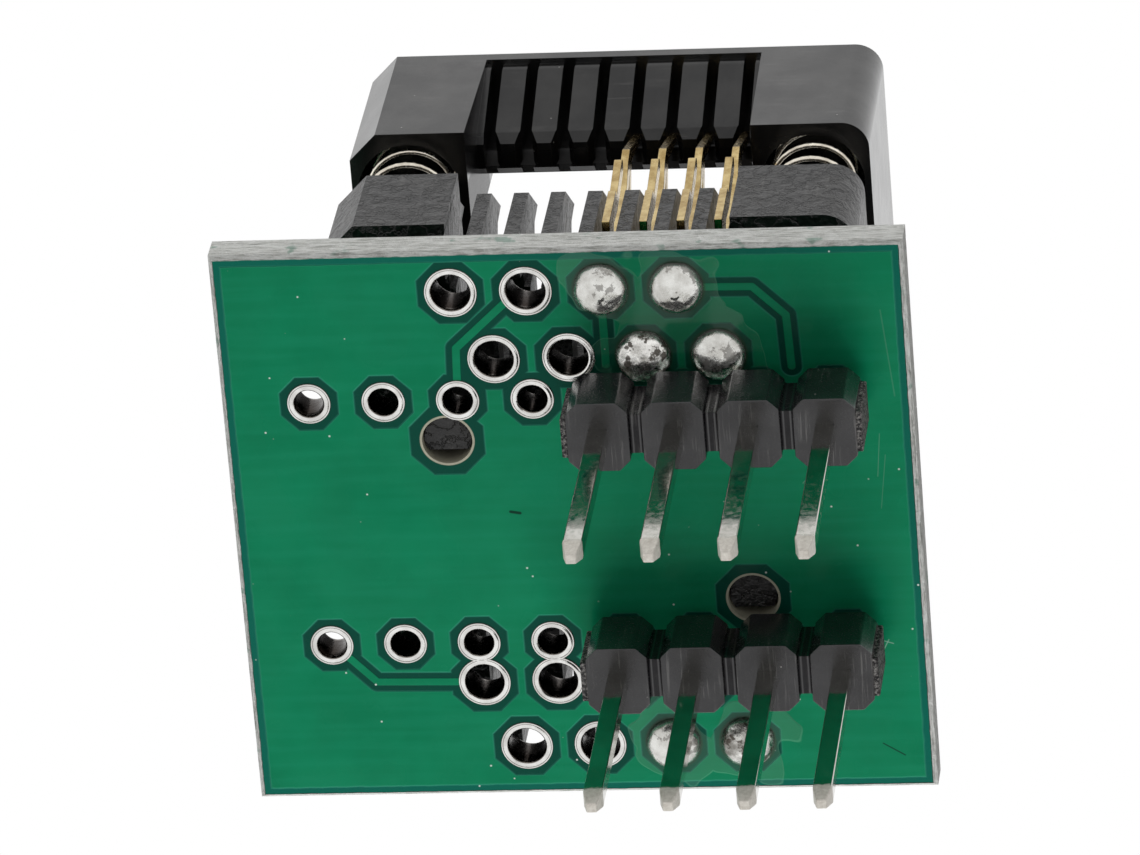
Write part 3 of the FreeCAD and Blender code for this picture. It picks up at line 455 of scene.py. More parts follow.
def make_board_material():
    material, tree = new_material("green_solder_mask")
    place = place_in_mm(tree)
    x, y, z = axes(tree, place)
    flat = put(tree, "ShaderNodeCombineXYZ", {"X": x, "Y": y, "Z": 0.0}).outputs[0]
    below = ramp(tree, z, MASK_SPLIT + 0.1, MASK_SPLIT)
    clearance, wall, peg = drilled_holes(tree, flat)
    # tracks, and the bare channels beside them, on the solder side only
    far_above = calc(tree, "MULTIPLY", less(tree, below), 50.0)
    track = smallest(tree, [track_gap(tree, flat, start, end) for start, end in TRACKS])
    track = calc(tree, "ADD", track, far_above)
    channel = calc(tree, "MINIMUM", calc(tree, "SUBTRACT", track, CHANNEL_REACH), clearance)
    # distance inwards from the board's outline, made ragged
    across = calc(tree, "SUBTRACT", BOARD_WIDTH / 2, off_from(tree, x, BOARD_MID[0]))
    along = calc(tree, "SUBTRACT", BOARD_DEPTH / 2, off_from(tree, y, BOARD_MID[1]))
    inward = calc(tree, "ADD", calc(tree, "MINIMUM", across, along),
                  wavering(tree, place, 2.2, 0.07))
    border = calc(tree, "SUBTRACT", inward, BORDER_WIDTH)
    channel = calc(tree, "MINIMUM", channel, border)
    bare = ramp(tree, channel, 0.02, -0.02)
    on_track = ramp(tree, track, TRACK_HALF + 0.03, TRACK_HALF)
    on_border = ramp(tree, border, 0.02, -0.02)
    on_copper = calc(tree, "MAXIMUM", less(tree, bare), on_track)
    rim_line = less(tree, ramp(tree, calc(tree, "ABSOLUTE", channel), 0.0, 0.055))
    colour = mask_colour(tree, place, on_copper, on_border, rim_line)
    film, film_edge, grime = flux_masks(tree, place, flat, below)
    colour = tint(tree, colour, film, 0.12, FLUX_FILM)
    colour = tint(tree, colour, film_edge, 0.3, FLUX_EDGE)
    colour = tint(tree, colour, grime, 0.55, FLUX_GRIME)
    for start, end, width, strength, tone in MARKS:
        line = ramp(tree, track_gap(tree, flat, start, end), width, width * 0.5)
        colour = tint(tree, colour, calc(tree, "MULTIPLY", line, below), strength, tone)
    # bare laminate at the edges and round the pegs, dust, and the tinned walls of the holes,
    # coloured dark brown as painted shade inside the bores
    fibre, cream, fibre_height = fibre_colour(tree, place)
    cut = ramp(tree, inward, SCORE_WIDTH + 0.04, SCORE_WIDTH)
    peg_rim = ramp(tree, peg, PEG_RIM + 0.03, PEG_RIM)
    tinned = ramp(tree, wall, 0.03, 0.01)
    colour = blend(tree, peg_rim, colour, cream)
    colour = blend(tree, cut, colour, fibre)
    colour = tint(tree, colour, dust(tree, place, 1.15, 0.055, 0.42), 0.75, BOARD_DUST)
    # painted shade: the tinned walls of the holes get a dark brown colour for the dark inside of
    # the bores
    colour = blend(tree, tinned, colour, HOLE_WALL_SHADE)
    height = calc(tree, "ADD", on_copper, calc(tree, "MULTIPLY", noise(tree, place, 1.5), 0.12))
    height = calc(tree, "ADD", height, calc(tree, "MULTIPLY", film, 0.7))
    mask_bump = put(tree, "ShaderNodeBump", {"Height": height, "Strength": 0.6,
                    "Distance": 0.00004})
    fibre_bump = put(tree, "ShaderNodeBump",
                     {"Height": calc(tree, "MULTIPLY", fibre_height, cut), "Strength": 0.9,
                      "Distance": 0.00012, "Normal": mask_bump.outputs[0]})
    smear = ramp(tree, noise(tree, place, 0.5), 0.35, 0.75)
    rough = calc(tree, "ADD", 0.22, calc(tree, "MULTIPLY", smear, 0.14))
    rough = calc(tree, "SUBTRACT", rough, calc(tree, "MULTIPLY", film, 0.17))
    bare_rough = calc(tree, "MULTIPLY", calc(tree, "MAXIMUM", cut, peg_rim), 0.85)
    rough = calc(tree, "MAXIMUM", rough, bare_rough)
    shader = put(tree, "ShaderNodeBsdfPrincipled",
                 {"Base Color": colour, "Roughness": rough, "Metallic": tinned,
                  "Specular IOR Level": MASK_SHINE, "Coat Roughness": FLUX_ROUGHNESS,
                  "Coat Weight": calc(tree, "MULTIPLY", film, FLUX_SHINE),
                  "Normal": fibre_bump.outputs[0]})
    put(tree, "ShaderNodeOutputMaterial", {"Surface": shader.outputs[0]})
    return material


def paint(obj, material):
    """Give a piece one finish in place of the plain one that came with the solid."""
    obj.data.materials.clear()
    obj.data.materials.append(material)


paint(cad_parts["board"], make_board_material())

# Plated rings: tin over copper round each pin and tail hole, on both faces and down the
# wall between them, a little raised above the mask and rounded over the lip.
RING_STEPS = 40
SEAM_GAP = 0.0001
RING_TIN_DARK = (0.6, 0.59, 0.57, 1)
RING_TIN_BRIGHT = (0.82, 0.82, 0.8, 1)
RING_STAIN = (0.22, 0.2, 0.18, 1)
RING_BORE_SHADE = (0.02, 0.012, 0.008, 1)


def make_cloud_group():
    """Clouding of a plated or tinned skin: broad clouds, fine grain and their height."""
    tree, given, result = group_tree(
        "metal_clouds", (("Place", "Vector"), ("Scale", "Float")), ("Cloud", "Fine", "Height"))
    place = given["Place"]
    scale = given["Scale"]
    cloud = noise(tree, place, scale, 4.0, 0.6)
    fine = noise(tree, place, calc(tree, "MULTIPLY", scale, 6.0), 4.0, 0.65)
    height = calc(tree, "ADD", cloud, calc(tree, "MULTIPLY", fine, 0.35))
    tree.links.new(cloud, result["Cloud"])
    tree.links.new(fine, result["Fine"])
    tree.links.new(height, result["Height"])
    return tree


metal_clouds = make_cloud_group()


def make_metal(name, dark, bright, smoothest, roughest, scale, bump):
    """Cloudy metal; returns the material, its tree and the shader, to be altered further."""
    material, tree = new_material(name)
    clouds = put(tree, "ShaderNodeGroup", {"Place": place_in_mm(tree), "Scale": scale},
                 node_tree=metal_clouds).outputs
    colour = blend(tree, ramp(tree, clouds["Cloud"], 0.3, 0.7), dark, bright)
    rough = calc(tree, "ADD", smoothest, calc(
        tree, "MULTIPLY", ramp(tree, clouds["Fine"], 0.35, 0.7), roughest - smoothest))
    lumps = put(tree, "ShaderNodeBump", {"Height": clouds["Height"], "Strength": 0.5,
                "Distance": bump})
    shader = put(tree, "ShaderNodeBsdfPrincipled",
                 {"Base Color": colour, "Roughness": rough, "Metallic": 1.0,
                  "Normal": lumps.outputs[0]})
    put(tree, "ShaderNodeOutputMaterial", {"Surface": shader.outputs[0]})
    return material, tree, shader


def fed_by(shader, socket):
    """What feeds a socket of the shader so far."""
    return shader.inputs[socket].links[0].from_socket


def finish_piece(obj, body, slot_name, *nodes):
    """Bring a piece modelled in millimetres into the frame and let it ride there."""
    obj.data.transform(obj.matrix_world)
    obj.matrix_world = Matrix.Identity(4)
    obj.data.transform(Matrix.Scale(0.001, 4))
    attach(obj, body)
    if nodes:
        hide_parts(*nodes)
    bpy.ops.object.select_all(action="DESELECT")


def make_active(obj):
    bpy.ops.object.select_all(action="DESELECT")
    obj.select_set(True)
    bpy.context.view_layer.objects.active = obj


def smooth_below(degrees):
    bpy.ops.object.shade_smooth_by_angle(angle=math.radians(degrees))


def lathe(name, points, steps):
    """A closed ring of revolution from (radius, level) points, grown loop by loop."""
    radius, level = points[0]
    bpy.ops.mesh.primitive_circle_add(vertices=steps, radius=radius, fill_type="NOTHING",
                                      location=(0, 0, 0))
    obj = bpy.context.object
    obj.name = name
    bpy.ops.object.mode_set(mode="EDIT")
    bpy.ops.mesh.select_all(action="SELECT")
    bpy.ops.transform.translate(value=(0, 0, level))
    for next_radius, next_level in points[1:] + points[:1]:
        bpy.ops.mesh.extrude_region_move(
            TRANSFORM_OT_translate={"value": (0, 0, next_level - level)})
        bpy.ops.transform.resize(value=(next_radius / radius, next_radius / radius, 1),
                                 center_override=(0, 0, next_level))
        radius, level = next_radius, next_level
    bpy.ops.mesh.select_all(action="SELECT")
    bpy.ops.mesh.remove_doubles(threshold=SEAM_GAP)
    bpy.ops.mesh.normals_make_consistent(inside=False)
    bpy.ops.object.mode_set(mode="OBJECT")
    return obj


def copy_to(source, name, x, y):
    mesh = source.data.copy()
    mesh.transform(Matrix.Translation((x, y, 0)))
    obj = bpy.data.objects.new(name, mesh)
    bpy.context.collection.objects.link(obj)
    return obj


def join(name, parts):
    make_active(parts[0])
    for part in parts:
        part.select_set(True)
    bpy.ops.object.join()
    parts[0].name = name
    return parts[0]


def ring_model(hole, ring):
    """Ring on both faces with the plated wall between them."""
    middle = (hole + ring) / 2
    solder_side = (
        (ring, 0), (ring - 0.01, 0.03), (ring - 0.035, 0.045), (middle + 0.045, 0.03),
        (middle + 0.02, 0.055), (middle - 0.03, 0.075), (hole + 0.03, 0.05),
        (hole - 0.01, 0), (hole - 0.03, -0.08),
    )
    socket_side = (
        (hole - 0.03, -0.08), (hole - 0.01, 0), (hole + 0.03, 0.05), (middle, 0.06),
        (ring - 0.035, 0.045), (ring - 0.01, 0.03), (ring, 0),
    )
    points = [(radius, BOARD_LOW - rise) for radius, rise in solder_side]
    points += [(radius, BOARD_TOP + rise) for radius, rise in socket_side]
    model = lathe("ring_model", points, RING_STEPS)
    smooth_below(60)
    return model


def make_rings():
    parts = []
    for x, y, count, (hole, ring, _) in HOLE_ROWS:
        model = ring_model(hole, ring)
        for place in range(count):
            parts.append(copy_to(model, "ring", x + PITCH * place, y))
        bpy.data.objects.remove(model)
    return join("plated_rings", parts)


def make_ring_tin():
    """Bright tin, stained in its groove; inside the holes it is painted near-black brown as the
    shade in the bores.
    """
    material, tree, shader = make_metal("bright_tin", RING_TIN_DARK, RING_TIN_BRIGHT, 0.1,
                                        0.32, 1.6, 0.00003)
    _, _, level = axes(tree, place_in_mm(tree))
    middle = (BOARD_LOW + BOARD_TOP) / 2
    face = BOARD_TOP - middle
    depth = off_from(tree, level, middle)
    inside = ramp(tree, depth, face - 0.02, face - 0.2)
    groove = ramp(tree, depth, face + 0.042, face + 0.03)
    stain = blend(tree, groove, fed_by(shader, "Base Color"), RING_STAIN)
    # painted shade: the plated wall down each bore is coloured near-black brown
    tree.links.new(blend(tree, inside, stain, RING_BORE_SHADE), shader.inputs["Base Color"])
    return material


ring_tin = make_ring_tin()
rings = make_rings()
paint(rings, ring_tin)
finish_piece(rings, "adapter", "solder")

# Solder mounds: hand-soldered tails on the pin side, round blobs of tin, some bright
# and smooth, some dull and pitted; a nub shows where the outer row's tails end.
MOUND_RADIUS = 0.92
MOUND_FOOT = 0.02
OUTER_MOUND = 0.64
INNER_MOUND = 0.62
NUB_RADIUS = 0.16
NUB_LENGTH = 0.05
NUB_TAPER = 0.75
# size and depth of the unevenness pressed into a mound
SWELL = (0.6, 0.09)
PITS = (0.22, 0.05)
SKIN = (0.25, 0.02)
PITTED = {("front", 2), ("rear", 4)}
BRIGHT_SOLDER = ((0.5, 0.49, 0.46, 1), (0.76, 0.76, 0.73, 1))
DULL_SOLDER = ((0.2, 0.19, 0.17, 1), (0.85, 0.84, 0.81, 1))
BURNT_FLUX = (0.05, 0.035, 0.022, 1)


def press_uneven(obj, name, kind, size, depth):
    """Press an uneven surface into a piece, different at each place in the frame."""
    pattern = bpy.data.textures.new(name, kind)
    pattern.noise_scale = size
    press = obj.modifiers.new(name, "DISPLACE")
    press.texture = pattern
    press.texture_coords = "LOCAL"
    press.strength = depth
    press.mid_level = 0.5
    make_active(obj)
    bpy.ops.object.modifier_apply(modifier=name)


def close_ends():
    """In edit mode, fill the open ends of a piece and turn its faces outwards."""
    bpy.ops.mesh.select_all(action="DESELECT")
    bpy.ops.mesh.select_mode(type="EDGE")
    bpy.ops.mesh.select_non_manifold()
    bpy.ops.mesh.edge_face_add()
    bpy.ops.mesh.select_all(action="SELECT")
    bpy.ops.mesh.normals_make_consistent(inside=False)


def make_mound(name, x, y, height, pitted, nub):
    """Flattened drop of solder, with the end of the tail as a nub on the outer row."""
    bpy.ops.mesh.primitive_uv_sphere_add(segments=56, ring_count=40, radius=MOUND_RADIUS,
                                         location=(0, 0, 0))
    obj = bpy.context.object
    obj.name = name
    bpy.ops.object.mode_set(mode="EDIT")
    bpy.ops.mesh.select_all(action="SELECT")
    bpy.ops.mesh.bisect(plane_co=(0, 0, MOUND_FOOT), plane_no=(0, 0, 1), clear_outer=True)
    close_ends()
    bpy.ops.transform.resize(value=(1, 1, height / MOUND_RADIUS), center_override=(0, 0, 0))
    if nub:
        bpy.ops.mesh.select_all(action="DESELECT")
        shape = bmesh.from_edit_mesh(obj.data)
        for face in shape.faces:
            middle = face.calc_center_median()
            if math.hypot(middle.x, middle.y) < NUB_RADIUS and middle.z < 0:
                face.select = True
        shape.select_flush_mode()
        bmesh.update_edit_mesh(obj.data)
        bpy.ops.mesh.extrude_region_move(
            TRANSFORM_OT_translate={"value": (0, 0, -NUB_LENGTH)})
        bpy.ops.transform.resize(value=(NUB_TAPER, NUB_TAPER, 1),
                                 center_override=(0, 0, -height))
    bpy.ops.object.mode_set(mode="OBJECT")
    obj.data.transform(Matrix.Translation((x, y, BOARD_LOW)))
    press_uneven(obj, name + "_swell", "CLOUDS", *SWELL)
    if pitted:
        press_uneven(obj, name + "_pits", "STUCCI", *PITS)
    else:
        press_uneven(obj, name + "_skin", "CLOUDS", *SKIN)
    smooth_below(60)
    return obj


def make_solder(name, tones, smoothest, roughest, bump, stain):
    """Cloudy tin with burnt flux on it, in brown patches and round its foot."""
    material, tree, shader = make_metal(name, *tones, smoothest, roughest, 1.6, bump)
    place = place_in_mm(tree)
    _, _, level = axes(tree, place)
    burnt = ramp(tree, noise(tree, place, 1.5, 4.0, 0.65), 0.55, 0.61)
    foot = ramp(tree, level, BOARD_LOW - 0.3, BOARD_LOW)
    share = calc(tree, "MAXIMUM", calc(tree, "MULTIPLY", burnt, stain),
                 calc(tree, "MULTIPLY", foot, 0.75))
    colour = blend(tree, share, fed_by(shader, "Base Color"), BURNT_FLUX)
    tree.links.new(colour, shader.inputs["Base Color"])
    tree.links.new(less(tree, share, 0.7), shader.inputs["Metallic"])
    return material


solder_bright = make_solder("solder_bright", BRIGHT_SOLDER, 0.14, 0.3, 0.00004, 0.5)
solder_dull = make_solder("solder_dull", DULL_SOLDER, 0.12, 0.4, 0.0001, 0.9)
for count in range(1, 5):
    x = FIRST_TAIL + TAIL_PITCH * (count + 3)
    outer_in_front = count % 2 == 1
    front = -TAIL_OUT if outer_in_front else -TAIL_IN
    rear = TAIL_IN if outer_in_front else TAIL_OUT
    for side, y in (("front", front), ("rear", rear)):
        pitted = (side, count) in PITTED
        outer = abs(y) == TAIL_OUT
        mound = make_mound("tail_mound_%s_%d" % (side, count), x, y,
                           OUTER_MOUND if outer else INNER_MOUND, pitted, outer)
        paint(mound, solder_dull if pitted else solder_bright)
        finish_piece(mound, "adapter", "solder", "tail_solder_%s_%d" % (side, count))

# Solder fillets: hollow cones of tin on the socket side of the board, drawn up the
# header pins as they were soldered there.
FILLET_STEPS = 36
# radius and height above the board
FILLET_PROFILE = ((0.34, 0.01), (0.8, 0.01), (0.74, 0.1), (0.6, 0.22), (0.52, 0.4),
                  (0.49, 0.56), (0.47, 0.6), (0.34, 0.58))


def make_fillet(name, x, y):
    points = [(radius, BOARD_TOP + height) for radius, height in FILLET_PROFILE]
    obj = lathe(name, points, FILLET_STEPS)
    obj.data.transform(Matrix.Translation((x, y, 0)))
    make_active(obj)
    smooth_below(50)
    return obj


for side, y in (("front", -PIN_ROW), ("rear", PIN_ROW)):
    for count in range(1, 5):
        fillet = make_fillet("pin_fillet_%s_%d" % (side, count), PITCH * (count - 2.5), y)
        paint(fillet, solder_bright)
        finish_piece(fillet, "adapter", "solder", "pin_solder_%s_%d" % (side, count))

# Header strips: black nylon moulded in octagonal segments, snapped off a longer strip,
# so both ends are torn. They stand off the board on the solder of the inner tails.
MERGE_GAP = 0.0008
FLAT_ANGLE = 0.6
SHARP_ANGLE = 25.0
SMOOTH_ANGLE = 35
PIN_GRIP = 0.55
HEADER_EDGE = 0.05
HEADER_TONES = ((0.005, 0.0045, 0.0055, 1), (0.011, 0.0105, 0.012, 1))
HEADER_SHINE = 0.6
HEADER_ROUGH = 0.18
HEADER_WORN = 0.45
HEADER_BREAK = 4.84
PLASTIC_DUST = (0.4, 0.39, 0.37, 1)
PLASTIC_SCRATCH = (0.12, 0.115, 0.11, 1)
TORN_NYLON = (0.26, 0.25, 0.24, 1)
TROUGH_HALF = 0.21
RIDGE_PLACE = 0.12


def mark_edges(obj, pin_row):
    """Weigh the edges to round: all sharp ones, but not those that grip a pin."""
    shape = bmesh.new()
    shape.from_mesh(obj.data)
    weight = shape.edges.layers.float.new("bevel_weight_edge")
    for edge in shape.edges:
        middle = (edge.verts[0].co + edge.verts[1].co) / 2
        nearest = (math.floor(middle.x / PITCH) + 0.5) * PITCH
        grips = pin_row is not None and math.hypot(middle.x - nearest,
                                                   middle.y - pin_row) < PIN_GRIP
        sharp = len(edge.link_faces) == 2 and edge.calc_face_angle() > math.radians(SHARP_ANGLE)
        edge[weight] = 1.0 if sharp and not grips else 0.0
    shape.to_mesh(obj.data)
    shape.free()


def rounded_copy(node_name, piece_name, width, pin_row=None):
    """A copy of a solid with its edges broken, as moulded or stamped ones are."""
    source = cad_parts[node_name]
    obj = bpy.data.objects.new(piece_name, source.data.copy())
    bpy.context.collection.objects.link(obj)
    obj.data.transform(Matrix.Scale(1000, 4))
    make_active(obj)
    bpy.ops.object.mode_set(mode="EDIT")
    bpy.ops.mesh.select_all(action="SELECT")
    bpy.ops.mesh.remove_doubles(threshold=MERGE_GAP)
    bpy.ops.mesh.dissolve_limited(angle_limit=math.radians(FLAT_ANGLE))
    bpy.ops.object.mode_set(mode="OBJECT")
    mark_edges(obj, pin_row)
    bevel = obj.modifiers.new("edges", "BEVEL")
    bevel.width = width
    bevel.segments = 2
    bevel.limit_method = "WEIGHT"
    bevel.use_clamp_overlap = True
    bpy.ops.object.modifier_apply(modifier="edges")
    smooth_below(SMOOTH_ANGLE)
    even = obj.modifiers.new("flat_faces", "WEIGHTED_NORMAL")
    even.keep_sharp = True
    even.weight = 100
    bpy.ops.object.modifier_apply(modifier="flat_faces")
    return obj


def make_skin_group():
    """Skin of a moulding: tone, fine grain, scratches, and ridges from a sparked mould."""
    tree, given, result = group_tree(
        "moulded_skin", (("Place", "Vector"), ("Scratch Run", "Vector"),
                         ("Wrinkle Scale", "Float")), ("Tone", "Fine", "Marks", "Relief"))
    place = given["Place"]
    tone = ramp(tree, noise(tree, place, 0.5, 4.0, 0.6), 0.3, 0.72)
    fine = noise(tree, place, 14.0, 3.0, 0.6)
    run = stretched(tree, place, given["Scratch Run"])
    lines = ramp(tree, noise(tree, run, 1.0, 4.0, 0.65), 0.52, 0.7)
    patches = ramp(tree, noise(tree, place, 0.8, 2.0), 0.4, 0.62)
    wander = noise(tree, place, given["Wrinkle Scale"], 4.0, 0.6)
    ridge = ramp(tree, off_from(tree, wander, 0.5), 0.0, 0.035)
    relief = calc(tree, "ADD", ridge, calc(tree, "MULTIPLY", wander, 4.0))
    relief = calc(tree, "ADD", relief, calc(tree, "MULTIPLY", fine, 0.25))
    tree.links.new(tone, result["Tone"])
    tree.links.new(fine, result["Fine"])
    tree.links.new(calc(tree, "MULTIPLY", lines, patches), result["Marks"])
    tree.links.new(relief, result["Relief"])
    return tree


moulded_skin = make_skin_group()


def make_plastic(name, tones, shine, rough, worn, wrinkle_scale, wrinkle_depth, scratch_run):
    """Moulded black plastic; returns the material and the nodes to be altered further."""
    material, tree = new_material(name)
    place = place_in_mm(tree)
    skin = put(tree, "ShaderNodeGroup", {"Place": place, "Scratch Run": scratch_run,
               "Wrinkle Scale": wrinkle_scale}, node_tree=moulded_skin).outputs
    colour = blend(tree, skin["Tone"], *tones)
    colour = tint(tree, colour, dust(tree, place, 1.5, 0.06, 0.5), 0.6, PLASTIC_DUST)
    colour = tint(tree, colour, skin["Marks"], worn, PLASTIC_SCRATCH)
    coarse = calc(tree, "ADD", rough, calc(tree, "MULTIPLY", skin["Fine"], 0.15))
    bump = put(tree, "ShaderNodeBump", {"Height": skin["Relief"], "Strength": 0.8,
               "Distance": wrinkle_depth})
    shader = put(tree, "ShaderNodeBsdfPrincipled",
                 {"Base Color": colour, "Roughness": coarse, "Specular IOR Level": shine,
                  "Normal": bump.outputs[0]})
    put(tree, "ShaderNodeOutputMaterial", {"Surface": shader.outputs[0]})
    return material, tree, place, skin, bump, shader


def uneven_gloss(tree, skin, worn):
    """Gloss of a polished moulding: clouded, and brighter along its scratches."""
    clouds = calc(tree, "MULTIPLY", skin["Tone"], 0.22)
    gloss = calc(tree, "ADD", 0.8, calc(tree, "ADD", clouds, calc(
        tree, "MULTIPLY", skin["Fine"], 0.3)))
    return calc(tree, "MULTIPLY", gloss, calc(
        tree, "ADD", 1.0, calc(tree, "MULTIPLY", skin["Marks"], worn)))


def polish(tree, shader, gloss, shine, rough):
    """A quarter of the shine all over; the rest as a coat that follows the gloss."""
    shader.inputs["Specular IOR Level"].default_value = shine * 0.25
    shader.inputs["Coat Roughness"].default_value = rough + 0.07
    above = calc(tree, "MAXIMUM", calc(tree, "SUBTRACT", gloss, 0.25), 0.0)
    tree.links.new(calc(tree, "MULTIPLY", above, shine * 2.0), shader.inputs["Coat Weight"])


def make_header_nylon():
    """Glossy nylon: torn, rough ends, and at each break line a trough whose sheen is cut down as
    painted shade, with its two ridges given more sheen as painted highlights.
    """
    material, tree, place, skin, bump, shader = make_plastic(
        "header_nylon", HEADER_TONES, HEADER_SHINE, HEADER_ROUGH, HEADER_WORN, 1.2, 0.000006,
        (9.0, 0.3, 0.6))
    x, _, _ = axes(tree, place)
    snapped = ramp(tree, calc(tree, "ABSOLUTE", x), HEADER_BREAK, HEADER_BREAK + 0.05)
    crumbs = noise(tree, place, 9.0, 5.0, 0.75)
    white = calc(tree, "MULTIPLY", snapped, ramp(tree, crumbs, 0.46, 0.6))
    colour = tint(tree, fed_by(shader, "Base Color"), white, 0.8, TORN_NYLON)
    tree.links.new(colour, shader.inputs["Base Color"])
    torn_height = calc(tree, "MULTIPLY", calc(tree, "MULTIPLY", crumbs, snapped), 9.0)
    relief = calc(tree, "ADD", skin["Relief"], torn_height)
    tree.links.new(relief, bump.inputs["Height"])
    coarse = calc(tree, "MAXIMUM", fed_by(shader, "Roughness"),
                  calc(tree, "MULTIPLY", snapped, 0.7))
    tree.links.new(coarse, shader.inputs["Roughness"])
    nearest = calc(tree, "MULTIPLY", calc(tree, "ROUND", calc(tree, "DIVIDE", x, PITCH)), PITCH)
    off = off_from(tree, x, nearest)
    # painted shade and highlights: less sheen in the trough at each break line, more along its
    # two ridges
    trough_shade = ramp(tree, off, TROUGH_HALF + 0.03, TROUGH_HALF)
    ridges = calc(tree, "MULTIPLY", trough_shade, ramp(
        tree, off_from(tree, off, RIDGE_PLACE), 0.04, 0.015))
    gloss = calc(tree, "MULTIPLY", uneven_gloss(tree, skin, HEADER_WORN),
                 less(tree, trough_shade, 0.65))
    gloss = calc(tree, "MULTIPLY", calc(tree, "ADD", gloss, ridges), less(tree, snapped, 0.6))
    polish(tree, shader, gloss, HEADER_SHINE, HEADER_ROUGH)
    return material


header_nylon = make_header_nylon()
for side, pin_row in (("front", -PIN_ROW), ("rear", PIN_ROW)):
    strip = rounded_copy("header_" + side, "header_strip_" + side, HEADER_EDGE, pin_row)
    paint(strip, header_nylon)
    finish_piece(strip, "adapter", "header_plastic", "header_" + side)

# Header pins: square bronze bars with a bright skin of tin, pressed through the strips
# and soldered to the board; their tapered tips were cut after plating and are bare.
PIN_EDGE = 0.045
PIN_TIN_DARK = (0.46, 0.45, 0.41, 1)
PIN_TIN_BRIGHT = (0.6, 0.59, 0.55, 1)
BARE_DARK = (0.34, 0.3, 0.25, 1)
BARE_BRIGHT = (0.86, 0.84, 0.78, 1)
TIP_LENGTH = 0.85


def make_pin_tin():
    """Mirror-bright tin on the sides; bare, burred metal where the tips were cut."""
    material, tree, shader = make_metal("pin_tin", PIN_TIN_DARK, PIN_TIN_BRIGHT, 0.05, 0.16,
                                        0.9, 0.000003)
    place = place_in_mm(tree)
    _, _, level = axes(tree, place)
    ragged = calc(tree, "ADD", level, calc(tree, "MULTIPLY", noise(tree, place, 4.0), 0.3))
    cut = ramp(tree, ragged, TIP_LEVEL + TIP_LENGTH + 0.2, TIP_LEVEL + TIP_LENGTH)
    scraped = blend(tree, noise(tree, place, 7.0, 4.0, 0.7), BARE_DARK, BARE_BRIGHT)
    colour = blend(tree, cut, fed_by(shader, "Base Color"), scraped)
    rough = calc(tree, "MAXIMUM", fed_by(shader, "Roughness"),
                 calc(tree, "MULTIPLY", cut, 0.55))
    tree.links.new(colour, shader.inputs["Base Color"])
    tree.links.new(rough, shader.inputs["Roughness"])
    tree.links.new(less(tree, cut, 0.5), shader.inputs["Metallic"])
    return material


pin_tin = make_pin_tin()
for side in ("front", "rear"):
    for count in range(1, 5):
        name = "pin_%s_%d" % (side, count)
        bar = rounded_copy(name, "pin_bar_%s_%d" % (side, count), PIN_EDGE)
        paint(bar, pin_tin)
        finish_piece(bar, "adapter", "pin_tin", name)

# Socket base: black glass-filled moulding with spark-eroded walls, a comb of teeth at
# each side, pegs through the board, and pockets for the four springs.
MOULDING_EDGE = 0.05
BASE_TONES = ((0.005, 0.005, 0.0055, 1), (0.012, 0.0115, 0.011, 1))
BASE_SHINE = 0.4
BASE_ROUGH = 0.26
BASE_WORN = 0.35

base_plastic = make_plastic("base_plastic", BASE_TONES, BASE_SHINE, BASE_ROUGH, BASE_WORN,
                            1.3, 0.00005, (6.0, 6.0, 0.5))[0]
base = rounded_copy("socket_base", "base_moulding", MOULDING_EDGE)
paint(base, base_plastic)
finish_piece(base, "adapter", "base_moulding", "socket_base")

# Cover: satin black moulding that presses down on its springs, with a comb of ribs in
# each window, a well for the package and barbed legs that hold it to the base.
COVER_TONES = ((0.005, 0.005, 0.0055, 1), (0.009, 0.0085, 0.008, 1))
COVER_SHINE = 0.4
COVER_ROUGH = 0.16
COVER_WORN = 0.12
COVER_MIDDLE = -4.37
COVER_HALF_WIDTH = 9.0
COVER_HALF_DEPTH = 10.2
COVER_TOP = 19.43
WELL_DEPTH = 1.7


def make_cover_plastic():
    """Satin outside; inside the well, behind the outer faces, the sheen is cut down as painted
    shade.
    """
    material, tree, place, skin, bump, shader = make_plastic(
        "cover_plastic", COVER_TONES, COVER_SHINE, COVER_ROUGH, COVER_WORN, 0.5, 0.0000006,
        (0.4, 0.4, 7.0))
    x, y, z = axes(tree, place)
    to_end = calc(tree, "SUBTRACT", COVER_HALF_WIDTH, off_from(tree, x, COVER_MIDDLE))
    to_face = calc(tree, "SUBTRACT", COVER_HALF_DEPTH, calc(tree, "ABSOLUTE", y))
    to_top = calc(tree, "SUBTRACT", COVER_TOP, z)
    depth = smallest(tree, [to_end, to_face, to_top])
    # painted shade: less sheen on the inner faces, more than the well's depth in from the outer
    # faces and top
    well_shade = ramp(tree, depth, WELL_DEPTH, WELL_DEPTH + 0.3)
    gloss = calc(tree, "MULTIPLY", uneven_gloss(tree, skin, COVER_WORN),
                 less(tree, well_shade, 0.75))
    polish(tree, shader, gloss, COVER_SHINE, COVER_ROUGH)
    return material


cover = rounded_copy("cover", "cover_moulding", MOULDING_EDGE)
paint(cover, make_cover_plastic())
finish_piece(cover, "cover", "cover_moulding", "cover")

# Contacts: strips stamped from copper alloy and plated with gold, seen on their cut
# edges, each with an outer arm, a lever and a beak over its lead pad. Each is pressed
# into its slot of the base and soldered to the board by its tail.
CONTACT_EDGE = 0.03
GOLD_DARK = (0.36, 0.25, 0.1, 1)
GOLD_BRIGHT = (0.64, 0.5, 0.25, 1)

gold = make_metal("contact_gold", GOLD_DARK, GOLD_BRIGHT, 0.14, 0.3, 1.8, 0.00002)[0]
for side in ("front", "rear"):
    for count in range(1, 5):
        name = "contact_%s_%d" % (side, count)
        strip = rounded_copy(name, "strip_%s_%d" % (side, count), CONTACT_EDGE)
        paint(strip, gold)
        finish_piece(strip, "adapter", "contact_gold", name)
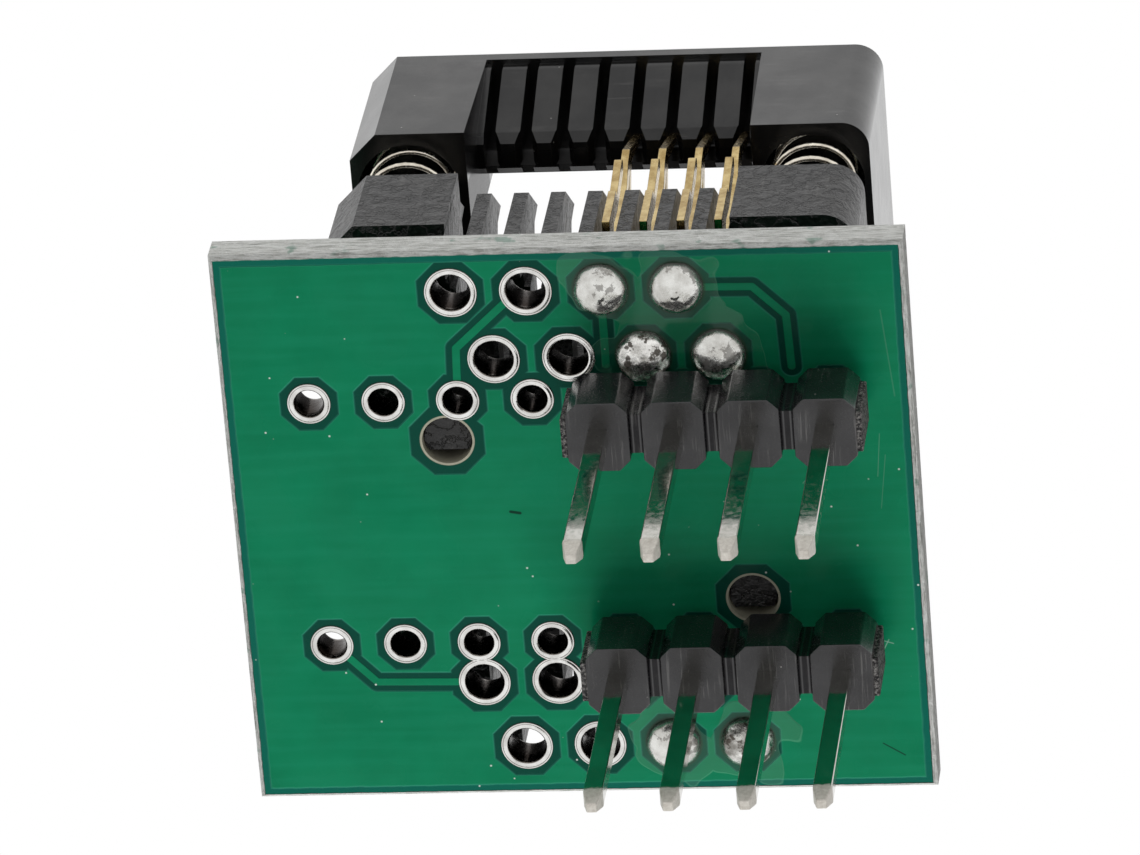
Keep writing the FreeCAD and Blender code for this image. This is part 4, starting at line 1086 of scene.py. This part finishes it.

# Springs: coils of bright round wire that stand loose in the pockets of the base and
# the cover; real ones shorten as the cover goes down, but each is built here at one fixed
# length.
SPRING_RADIUS = 1.43
SPRING_WIRE = 0.1
SPRING_LOW = 8.73
SPRING_HIGH = 15.13
SPRING_TURNS = 5.6
WIRE_SIDES = 12
STEPS_PER_TURN = 32
WIRE_DARK = (0.55, 0.5, 0.42, 1)
WIRE_BRIGHT = (0.85, 0.8, 0.7, 1)
# name, x and y of the middle, and the turn at which its wire starts
SPRINGS = (
    ("front_left", -11.37, -8.0, 0.4), ("front_right", 2.63, -8.0, 2.2),
    ("rear_left", -11.37, 8.0, 1.1), ("rear_right", 2.63, 8.0, 3.0),
)


def make_coil(name, x, y, start):
    bpy.ops.mesh.primitive_circle_add(vertices=WIRE_SIDES, radius=SPRING_WIRE,
                                      fill_type="NOTHING", location=(0, 0, 0),
                                      rotation=(math.pi / 2, 0, 0))
    obj = bpy.context.object
    obj.name = name
    obj.data.transform(obj.matrix_world)
    obj.matrix_world = Matrix.Identity(4)
    obj.data.transform(Matrix.Translation((SPRING_RADIUS, 0, SPRING_LOW + SPRING_WIRE)))
    screw = obj.modifiers.new("coil", "SCREW")
    screw.angle = 2 * math.pi * SPRING_TURNS
    screw.screw_offset = SPRING_HIGH - SPRING_LOW - 2 * SPRING_WIRE
    screw.iterations = 1
    screw.steps = int(STEPS_PER_TURN * SPRING_TURNS)
    screw.render_steps = screw.steps
    screw.use_merge_vertices = False
    make_active(obj)
    bpy.ops.object.modifier_apply(modifier="coil")
    bpy.ops.object.mode_set(mode="EDIT")
    close_ends()
    bpy.ops.object.mode_set(mode="OBJECT")
    smooth_below(50)
    obj.data.transform(Matrix.Translation((x, y, 0)) @ Matrix.Rotation(start, 4, "Z"))
    return obj


spring_wire = make_metal("spring_wire", WIRE_DARK, WIRE_BRIGHT, 0.12, 0.3, 2.0, 0.00002)[0]
for label, x, y, start in SPRINGS:
    coil = make_coil("coil_" + label, x, y, start)
    paint(coil, spring_wire)
    finish_piece(coil, "adapter", "spring_wire", "spring_" + label)
    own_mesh(coil)
